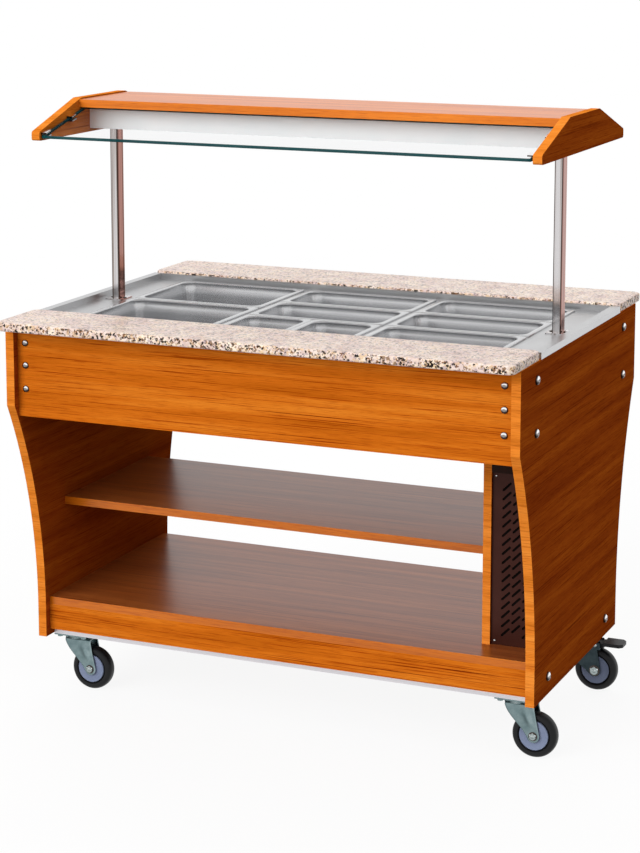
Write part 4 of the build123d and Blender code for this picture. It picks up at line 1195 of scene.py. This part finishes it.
@dataclass
class FoodPan:
    """One drawn steel pan, worked out from its CAD node's box.

    Attributes:
        node: CAD node and body of the pan.
        flange: Width of the flange in millimetres.
        sheet: Wall thickness.
        corner: Corner radius at the opening.
        lip_corner: Corner radius of the flange.
        draft: Wall's lean in degrees.
        bottom: Radius between wall and bottom.
        lip: Height of the flange's hemmed lip.
        rim: Radius between wall and flange.
        tightest: Smallest corner radius.
        wall: Height of points on the wall, and how far the stacking shoulder sets them back.
    """

    node: str
    flange: float = 12.0
    sheet: float = 1.2
    corner: float = 26.0
    lip_corner: float = 9.0
    draft: float = 5.0
    bottom: float = 12.0
    lip: float = 3.5
    rim: float = 2.2
    tightest: float = 3.0
    wall: tuple[tuple[float, float], ...] = (
        (-60.0, 0.0), (-30.0, 0.0), (-17.0, 0.0), (-14.0, 0.5), (-10.0, 0.8), (-4.0, 0.6),
    )

    def inner_profile(self, depth: float) -> Array:
        """Inside of the pan, from the bottom up to the rim.

        The wall leans in by the tangent of the draft for each millimetre of depth, less the
        shoulder. A quarter circle joins it to the flat bottom, and a small one to the flange.

        Args:
            depth: Depth of the pan in millimetres.

        Returns:
            Rows of inset from the opening and height.
        """
        lean = math.tan(math.radians(self.draft))
        turn = np.radians(np.linspace(0.0, 90.0, 9))
        foot_z = -depth + self.bottom * (1 - np.sin(turn))
        foot_in = (depth - self.bottom) * lean + self.bottom * (1 - np.cos(turn))
        wall_z, shoulder = np.array(self.wall).T
        rim = np.radians(np.linspace(10.0, 90.0, 6))
        return np.vstack([
            np.stack([foot_in, foot_z], axis=-1)[::-1],
            np.stack([-wall_z * lean - shoulder, wall_z], axis=-1),
            self.rim * np.stack([np.cos(rim), np.sin(rim)], axis=-1) - self.rim,
        ])

    def profile(self, depth: float) -> Array:
        """Whole section of the sheet: the inside, the flange with its lip, and the outside.

        The outside is the inside moved out by the sheet, and down by it near the bottom.

        Args:
            depth: Depth of the pan in millimetres.

        Returns:
            Rows of inset from the opening and height.
        """
        inner = self.inner_profile(depth)
        edge = np.array([
            [1.7, 0.0], [0.9, -0.35], [0.4, -1.2], [0.4, -self.lip], [1.4, -self.lip],
            [1.6, -self.sheet - 0.3], [2.4, -self.sheet],
        ]) - [self.flange, 0.0]
        outer = inner[::-1].copy()
        outer[:, 0] -= self.sheet
        outer[:, 1] -= self.sheet * (outer[:, 1] < -depth + 2 * self.bottom)
        outer[:, 1] = np.minimum(outer[:, 1], -self.sheet)
        return np.vstack([inner, edge, outer])

    def build(self) -> None:
        """Make the pan as one closed shell and put it in place of its CAD node.

        The corner radius shrinks with the inset below the opening, and again across the flange.
        """
        low, high = box_mm(self.node)
        middle, half = (low + high) / 2, (high - low) / 2
        inset, height = self.profile(high[2] - low[2] - self.sheet).T
        # The lip's outside fills the CAD box, and lies 0.4 mm inside the flange's full width.
        opening = half - self.flange + 0.4
        share = np.clip(-inset / self.flange, 0.0, 1.0)
        on_flange = self.corner - share * (self.corner - self.lip_corner)
        radius = np.where(inset > 0, np.maximum(self.corner - inset, self.tightest), on_flange)
        grid = rounded_rings(opening[0] - inset, opening[1] - inset, radius, height)
        grid += np.array([middle[0], middle[1], high[2]]) * MM
        mesh = MeshBuilder(self.node + "_drawn")
        mesh.add_grid(grid, caps=True)
        mesh.build(self.node, "stainless", [PAN_STEEL], [self.node], 50.0)


@dataclass
class HeatedWell:
    """Deck and tank, cross bars, heating element and the nine pans.

    Attributes:
        pans: CAD nodes of the pans.
    """

    pans: tuple[str, ...] = (
        "pan_half_rear", "pan_half_front", "pan_third_rear", "pan_third_middle", "pan_sixth_left",
        "pan_sixth_right", "pan_end_rear", "pan_end_middle", "pan_end_front",
    )

    def build(self) -> None:
        """Shape the pans and dress the sheet metal round them."""
        dress_nodes(DECK_STEEL, "well_tank")
        dress_nodes(BAR_STEEL, "cross_bars")
        dress_nodes(ELEMENT_STEEL, "heating_element")
        for node in self.pans:
            FoodPan(node).build()


@dataclass
class Canopy:
    """Posts, light housing, clips and the two sloping panes.

    Attributes:
        thickness: Glass thickness in millimetres.
        polish: Radius of the panes' ground edges.
        margin: Width of the border in which the edge's green shows through the faces.
        corner: Corner radius of the panes.
        band: Height of the strip of a CAD pane whose middle gives its foot or its head.
    """

    thickness: float = 6.0
    polish: float = 0.5
    margin: float = 3.0
    corner: float = 3.0
    band: float = 5.6

    def add_pane(self, name: str, node: str) -> None:
        """Make one pane with ground edges.

        The pane is a rounded rectangle carried through its thickness: its outline shrinks by the
        edge radius at both faces, and by the margin up to the clear faces. It lies between the
        middles of the lowest and the highest strip of its CAD node.

        Args:
            name: Name of the piece.
            node: CAD node that it replaces.
        """
        points = points_mm(node)
        height = points[:, 2]
        foot = points[height < height.min() + self.band][:, 1:].mean(axis=0)
        head = points[height > height.max() - self.band][:, 1:].mean(axis=0)
        length = float(np.hypot(*(head - foot)))
        along = np.array([0.0, *((head - foot) / length)])
        across = np.array([1.0, 0.0, 0.0])
        middle = np.array([0.0, *((foot + head) / 2)])
        turn = np.radians([-90.0, -90.0, -45.0, 0.0, 45.0, 90.0, 90.0])
        shrink = self.polish * (1 - np.cos(turn))
        shrink[[0, -1]] += self.margin
        rise = np.sign(np.sin(turn)) * (self.thickness / 2 - self.polish) + self.polish * np.sin(turn)
        radius = self.corner - shrink * 0.5
        flat = rounded_rings(points[:, 0].max() - shrink, length / 2 - shrink, radius, rise)
        turn_up = np.stack([across, along, np.cross(across, along)])
        mesh = MeshBuilder(name)
        mesh.add_grid(flat @ turn_up + middle * MM, caps=True, slot=1)
        mesh.slots[-1] = mesh.slots[-2] = 0
        mesh.build("cart_body", "glass", [CLEAR_GLASS, GLASS_EDGE], [node], 25.0)

    def build(self) -> None:
        """Dress the canopy's metal and plastic, and make the panes."""
        dress_nodes(POST_STEEL, "canopy_posts")
        dress_nodes(SCREW_CHROME, "glass_clips")
        dress_nodes(WHITE_PAINT, "light_housing", "lamp")
        dress_nodes(OPAL, "light_diffuser")
        self.add_pane("front_pane", "front_glass")
        self.add_pane("rear_pane", "rear_glass")


@dataclass
class PressedFork:
    """Pressed fork of a caster without a brake, about its swivel axis, trailing towards +X.

    Attributes:
        trail: Distance of the axle from the swivel axis in millimetres.
        axle: Height of the axle.
        crown: Height of the fork's upper face.
        leg: Distance of a leg's middle plane from the wheel's.
        eye: Radius of the leg's end round the axle.
        bend: Radius of the bend between leg and crown.
        neck: Radius of the crown's front edge.
        rear: Distance of the crown's rear edge from the swivel axis.
        half: Half of the sheet's thickness.
        rib: Height of the rib pressed into each leg.
        rib_width: Width of the rib's bell curve.
        rib_lean: Lean of the rib's middle line over its length.
        rib_span: Height of the rib's foot, and the rib's length.
        front_low: Height at which the front edge leaves the eye.
        rear_line: Height and place of the rear edge's foot, and the rise and lean of its line.
        sweep: Height and place of points on the leg's front edge.
    """

    trail: float = 40.0
    axle: float = 50.0
    crown: float = 120.0
    leg: float = 17.8
    eye: float = 14.0
    bend: float = 4.5
    neck: float = 29.0
    rear: float = 42.0
    half: float = 1.5
    rib: float = 3.0
    rib_width: float = 7.0
    rib_lean: float = 22.0
    rib_span: tuple[float, float] = (62.0, 50.0)
    front_low: float = 46.0
    rear_line: tuple[float, float, float, float] = (52.8, 53.7, 55.2, 11.7)
    sweep: tuple[tuple[float, float], ...] = (
        (44.0, 27.4), (50.0, 24.8), (60.6, 17.0), (72.0, 6.6), (85.0, -6.0), (95.0, -14.5),
        (103.0, -19.8), (109.0, -22.6), (114.0, -24.0),
    )

    def leg_path(self) -> Array:
        """Rows up one leg.

        Round the eye, the front and rear edges are a circle. Above it the front edge sweeps
        forward on a line through the sweep's points, which a running mean of five rows rounds
        off, and the rear edge is a line that leans forward up to the crown's edge.

        Returns:
            Rows of y, z, normal's y and z, front x and rear x, in millimetres.
        """
        turn = np.radians(np.linspace(16.0, 86.0, 9))
        z = np.concatenate([
            self.axle - self.eye * np.cos(turn),
            np.linspace(self.axle + 1.0, self.crown - self.bend - self.half, 26),
        ])
        reach = np.sqrt(np.maximum(self.eye**2 - (z - self.axle) ** 2, 0.0))
        sweep = np.interp(z, *np.array(self.sweep).T)
        sweep[2:-2] = np.lib.stride_tricks.sliding_window_view(sweep, 5).mean(axis=1)
        front = np.where(z < self.front_low, self.trail - reach, sweep)
        low, foot, rise, lean = self.rear_line
        line = np.maximum(foot - lean * (z - low) / rise, self.rear)
        rear = np.where(z < low, self.trail + reach, line)
        one = np.ones_like(z)
        return np.stack([one * self.leg, z, one, one * 0.0, front, rear], axis=-1)

    def path(self) -> Array:
        """Rows along the middle of the fork's sheet, which is a U on its head.

        It climbs one leg, goes round a quarter circle, over the crown and down the other leg. In
        the bend, the front edge eases by a sine onto the circle that it follows on the crown.

        Returns:
            Rows of y, z, normal's y and z, front x and rear x, in millimetres.
        """
        turn = np.radians(np.linspace(9.0, 90.0, 7))
        cosine, sine = np.cos(turn), np.sin(turn)
        y = self.leg - self.bend + self.bend * cosine
        z = self.crown - self.bend - self.half + self.bend * sine
        last = self.sweep[-1][1]
        front = last - (last + np.sqrt(self.neck**2 - y**2)) * sine
        corner = np.column_stack([y, z, cosine, sine, front, np.full(7, self.rear)])
        y = np.linspace(11.0, 0.0, 5)
        z = np.full(5, self.crown - self.half)
        edge = -np.sqrt(self.neck**2 - y**2)
        top = np.column_stack([y, z, np.zeros(5), np.ones(5), edge, np.full(5, self.rear)])
        side = np.vstack([self.leg_path(), corner, top])
        return np.vstack([side, side[-2::-1] * [-1.0, 1.0, -1.0, 1.0, 1.0, 1.0]])

    def grid(self) -> Array:
        """Carry the sheet's cross-section along the fork's path.

        The cross-section is a flat bar with round edges. A rib is pressed outwards along each
        leg: its height times a bell curve across its middle line, which leans forward from the
        axle to the crown, times a squared sine over its length.

        Returns:
            Rows by points by three coordinates, in millimetres.
        """
        path = self.path()
        run = np.linspace(0.0, 1.0, 19)
        turn = np.radians(np.linspace(90.0, -90.0, 7)[1:-1])
        flat, round_x, round_y = np.zeros(19), self.half * np.cos(turn), self.half * np.sin(turn)
        share = np.concatenate([run, np.ones(5), run[::-1], np.zeros(5)])
        beyond = np.concatenate([flat, round_x, flat, -round_x])
        off = np.concatenate([flat + self.half, round_y, flat - self.half, -round_y])
        front, rear = path[:, 4:5], path[:, 5:6]
        x = front + self.half + share * (rear - front - 2 * self.half) + beyond
        foot, length = self.rib_span
        climb = np.clip((path[:, 1:2] - foot) / length, 0.0, 1.0)
        bell = np.exp(-(((x - self.trail + self.rib_lean * climb) / self.rib_width) ** 2))
        lift = off + self.rib * bell * np.sin(climb * math.pi) ** 2 * np.abs(path[:, 2:3])
        y, z = (path[:, i : i + 1] + lift * path[:, i + 2 : i + 3] for i in (0, 1))
        return np.stack([x, y, z], axis=-1)


@dataclass
class Casters:
    """Wheels, forks, top plates and brake pedals of the four swivel casters.

    Attributes:
        wheel: Wheel radius in millimetres.
        shoulder: Height of the tyre's rounded tread.
        power: Power of the superellipse that rounds it.
        tread: Tyre width.
        hub: Hub radius.
        hub_width: Hub width.
        bore: Axle bore's radius.
        shaft: Axle's radius.
        names: Corners of the cart.
        braked: Those whose casters have a brake.
    """

    wheel: float = 50.0
    shoulder: float = 10.0
    power: float = 2.6
    tread: float = 28.0
    hub: float = 36.0
    hub_width: float = 32.0
    bore: float = 5.05
    shaft: float = 4.9
    names: tuple[str, ...] = ("front_left", "front_right", "rear_left", "rear_right")
    braked: tuple[str, ...] = ("rear_left", "rear_right")

    def tyre_profile(self) -> Array:
        """Closed profile of the tyre, with a rounded tread.

        The tread is half of a superellipse, as high as the tyre's shoulder and as wide as the
        tyre, on two upright sides that end at the hub.

        Returns:
            Rows of radius and place across the tyre, in millimetres.
        """
        seat, half = self.hub + 0.05, self.tread / 2
        angle = np.radians(np.linspace(-90.0, 90.0, 25))
        rise = np.abs(np.cos(angle)) ** (2 / self.power) * self.shoulder
        across = np.sign(np.sin(angle)) * np.abs(np.sin(angle)) ** (2 / self.power) * half
        tread = np.stack([self.wheel - self.shoulder + rise, across], axis=-1)
        inside = [[seat, 0.0], [seat, -half + 1.0], [seat + 1.0, -half]]
        return np.vstack([inside, tread, [[seat + 1.0, half], [seat, half - 1.0]]])

    def disc_profile(self) -> Array:
        """Closed profile of the wheel centre: bore, boss and a shallow dished disc."""
        half = self.hub_width / 2
        return both_sides([
            [self.bore, half], [12.0, half], [12.8, half - 0.8], [13.4, half - 2.2], [16.0, half - 2.6],
            [28.0, half - 2.2], [31.4, half - 1.6], [32.3, half - 2.6],
        ])

    def bead_profile(self) -> Array:
        """Closed profile of the dark ring between the disc and the tyre."""
        half = self.hub_width / 2
        return both_sides([
            [32.0, half - 6.0], [33.0, half - 5.0], [34.8, half - 3.6], [self.hub, half - 3.2],
        ])

    def wheel_centre(self, name: str) -> Array:
        """Middle of a caster's wheel in millimetres."""
        return sum(box_mm("tyre_" + name)) / 2

    def build_wheel(self, name: str) -> None:
        """Make the tyre and hub of one caster about the middle of its CAD wheel.

        Args:
            name: Corner of the cart.
        """
        centre = self.wheel_centre(name)
        tyre = MeshBuilder(f"tyre_{name}_moulded")
        tyre.add_grid(turned(self.tyre_profile(), Axis.Y, centre, 72), closed=True)
        tyre.build(f"wheel_{name}", "tyre_rubber", [RUBBER], [f"tyre_{name}"], 50.0)
        hub = MeshBuilder(f"hub_{name}_moulded")
        hub.add_grid(turned(self.disc_profile(), Axis.Y, centre, 64), closed=True)
        hub.add_grid(turned(self.bead_profile(), Axis.Y, centre, 64), closed=True, slot=1)
        hub.build(f"wheel_{name}", "hub_plastic", [HUB_PLASTIC, DARK_BEAD], [f"hub_{name}"], 35.0)

    def build_fork(self, name: str) -> None:
        """Make the pressed fork and axle of a caster without a brake.

        Args:
            name: Corner of the cart.
        """
        pin, centre = joint_mm("swivel_" + name), self.wheel_centre(name)
        way = 1.0 if centre[0] > pin[0] else -1.0
        fork = PressedFork()
        mesh = MeshBuilder(f"fork_{name}_pressed")
        mesh.add_grid((fork.grid() * [way, 1.0, 1.0] + [pin[0], pin[1], 0.0]) * MM, caps=True)
        end = self.hub_width / 2 + 1.0
        axle = np.array([[POLE, -end], [self.shaft, -end], [self.shaft, end], [POLE, end]])
        mesh.add_grid(turned(axle, Axis.Y, centre, 24), caps=True)
        mesh.build(f"fork_{name}", "zinc_steel", [ZINC], [f"fork_{name}"], 50.0)

    def bolt_profiles(self, size: float, sign: float) -> tuple[Array, Array]:
        """Profiles of a washer and a chamfered hexagon head, outwards from the fork's leg.

        Args:
            size: Size relative to a head that covers the plain nut.
            sign: Plus or minus one, the way that the head faces.

        Returns:
            Rows of radius and place in millimetres of the washer and of the head.
        """
        washer = [[POLE, 0.0], [12.0, 0.0], [12.3, 0.7], [POLE, 1.3]]
        head = [[POLE, 1.2], [-10.5, 1.2], [-10.5, 3.8], [8.6, 5.0], [4.2, 5.0], [3.4, 5.6], [POLE, 5.9]]
        return np.array(washer) * size * [1.0, sign], np.array(head) * size * [1.0, sign]

    def build_axle_bolts(self, name: str) -> None:
        """Put a bolt head over each end of a caster's axle, and a rivet over its pedal's pin.

        Args:
            name: Corner of the cart.
        """
        centre = self.wheel_centre(name)
        braked = name in self.braked
        mesh = MeshBuilder(f"axle_bolts_{name}")
        rivet = SocketScrews(5.0, 2.6, 1.0, 0.5)
        for sign in (-1.0, 1.0):
            seat = centre + [0.0, sign * (self.hub_width / 2 + 3.3), 0.0]
            washer, head = self.bolt_profiles(1.0 if braked else 0.8, sign)
            for slot, part in ((1, washer), (0, head)):
                mesh.add_grid(turned(part, Axis.Y, seat, 48, 6), caps=True, slot=slot)
            if braked:
                pin = joint_mm("brake_" + name)
                rivet.add_head(mesh, (pin[0], seat[1], pin[2]), Axis.Y, sign)
        # The washers take the ring painted dark as shadow, and the heads the painted reflection of the bolt
        # zinc.
        mesh.build(f"fork_{name}", "zinc_steel", [BOLT_ZINC, SCREW_RIM])

    def build_race_covers(self) -> None:
        """Make the flared covers of the four ball races, turned about the swivel axes.

        The cover hugs the race at the plate and flares by 4 mm to just above the fork's crown.
        """
        mesh = MeshBuilder("race_covers")
        section = np.array([
            [24.2, 9.6], [25.0, 9.6], [25.4, 6.5], [27.6, 2.4],
            [28.4, 0.9], [27.9, 0.5], [27.0, 2.0], [24.4, 6.2],
        ])
        for name in self.names:
            crown = box_mm("fork_" + name)[1][2]
            pin = joint_mm("swivel_" + name)
            mesh.add_grid(turned(section + [0.0, crown], Axis.Z, (pin[0], pin[1], 0.0), 48), closed=True)
        mesh.build("cart_body", "zinc_steel", [ZINC_RACE])

    def build(self) -> None:
        """Make the wheels and covers, and dress the forks, plates and pedals."""
        dress_nodes(ZINC, "caster_plates")
        # The rear forks are painted dark as the shade of the cart above them.
        dress_nodes(ZINC_SHADED, *("fork_" + name for name in self.braked))
        dress_nodes(BLACK_PLASTIC, *("brake_pedal_" + name for name in self.braked))
        for name in self.names:
            if name not in self.braked:
                self.build_fork(name)
        for name in self.names:
            self.build_wheel(name)
            self.build_axle_bolts(name)
        self.build_race_covers()


@dataclass
class Controls:
    """Thermostat, switches, gland and the printed marks of the rear control panel.

    Attributes:
        ticks: Number of dial marks.
        inner: Radius of the marks' inner ends in millimetres.
        outer: Radius of their outer ends.
        sweep: Angle that the marks cover, in degrees.
        width: Half of a mark's width.
        film: Thickness of the print, which is drawn thicker so that it clears the panel.
    """

    ticks: int = 11
    inner: float = 25.5
    outer: float = 30.0
    sweep: float = 270.0
    width: float = 0.5
    film: float = 0.15

    def build_marks(self) -> None:
        """Print the dial marks round the knob as a thin raised film.

        Mark number k stands at the angle of minus half the sweep plus k equal steps, measured
        from straight up. Each mark is a flat rounded bar between the two radii.
        """
        face = box_mm("control_panel")[1][1] * MM
        pin = joint_mm("thermostat_turn") * MM
        half = np.full(2, (self.outer - self.inner) / 2)
        bar = rounded_rings(np.full(2, self.width), half, np.full(2, 0.45), np.array([0.0, self.film]))
        bar[..., 1] += (self.inner + self.outer) / 2 * MM
        mesh = MeshBuilder("dial_marks")
        for angle in np.radians(np.linspace(-self.sweep / 2, self.sweep / 2, self.ticks)):
            x = bar[..., 0] * math.cos(angle) + bar[..., 1] * math.sin(angle)
            z = bar[..., 1] * math.cos(angle) - bar[..., 0] * math.sin(angle)
            mesh.add_grid(np.stack([pin[0] - x, face + bar[..., 2], pin[2] + z], axis=-1), caps=True)
        mesh.build("cart_body", "white_metal", [MARK_PRINT])

    def build(self) -> None:
        """Dress the controls and print the marks."""
        dress_nodes(BLACK_PLASTIC, "thermostat_body", "thermostat_knob", "switch_bodies", "cable_gland")
        dress_nodes(RED_PLASTIC, "heat_switch_rocker")
        dress_nodes(GREEN_PLASTIC, "light_switch_rocker")
        self.build_marks()


def main() -> None:
    """Build the studio and the cart's sub-assemblies in order."""
    logging.basicConfig(level=logging.INFO, format="%(name)s %(message)s")
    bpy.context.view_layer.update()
    Studio().build()
    WoodenBody().dress()
    HeatedWell().build()
    Canopy().build()
    SocketScrews(growth=1.3).build("body_screws", "panel_screws")
    SocketScrews(4.0, 3.0, 1.6, 1.2).build("post_foot_screws", "post_screws")
    SocketScrews(2.8, 1.9, 1.0, 0.7).build_corners("grille_screws", "front_grille", -1.0)
    SocketScrews(2.8, 1.9, 1.0, 0.7).build_corners("control_panel_screws", "control_panel", 1.0)
    Casters().build()
    Controls().build()


if __name__ == "__main__":
    main()
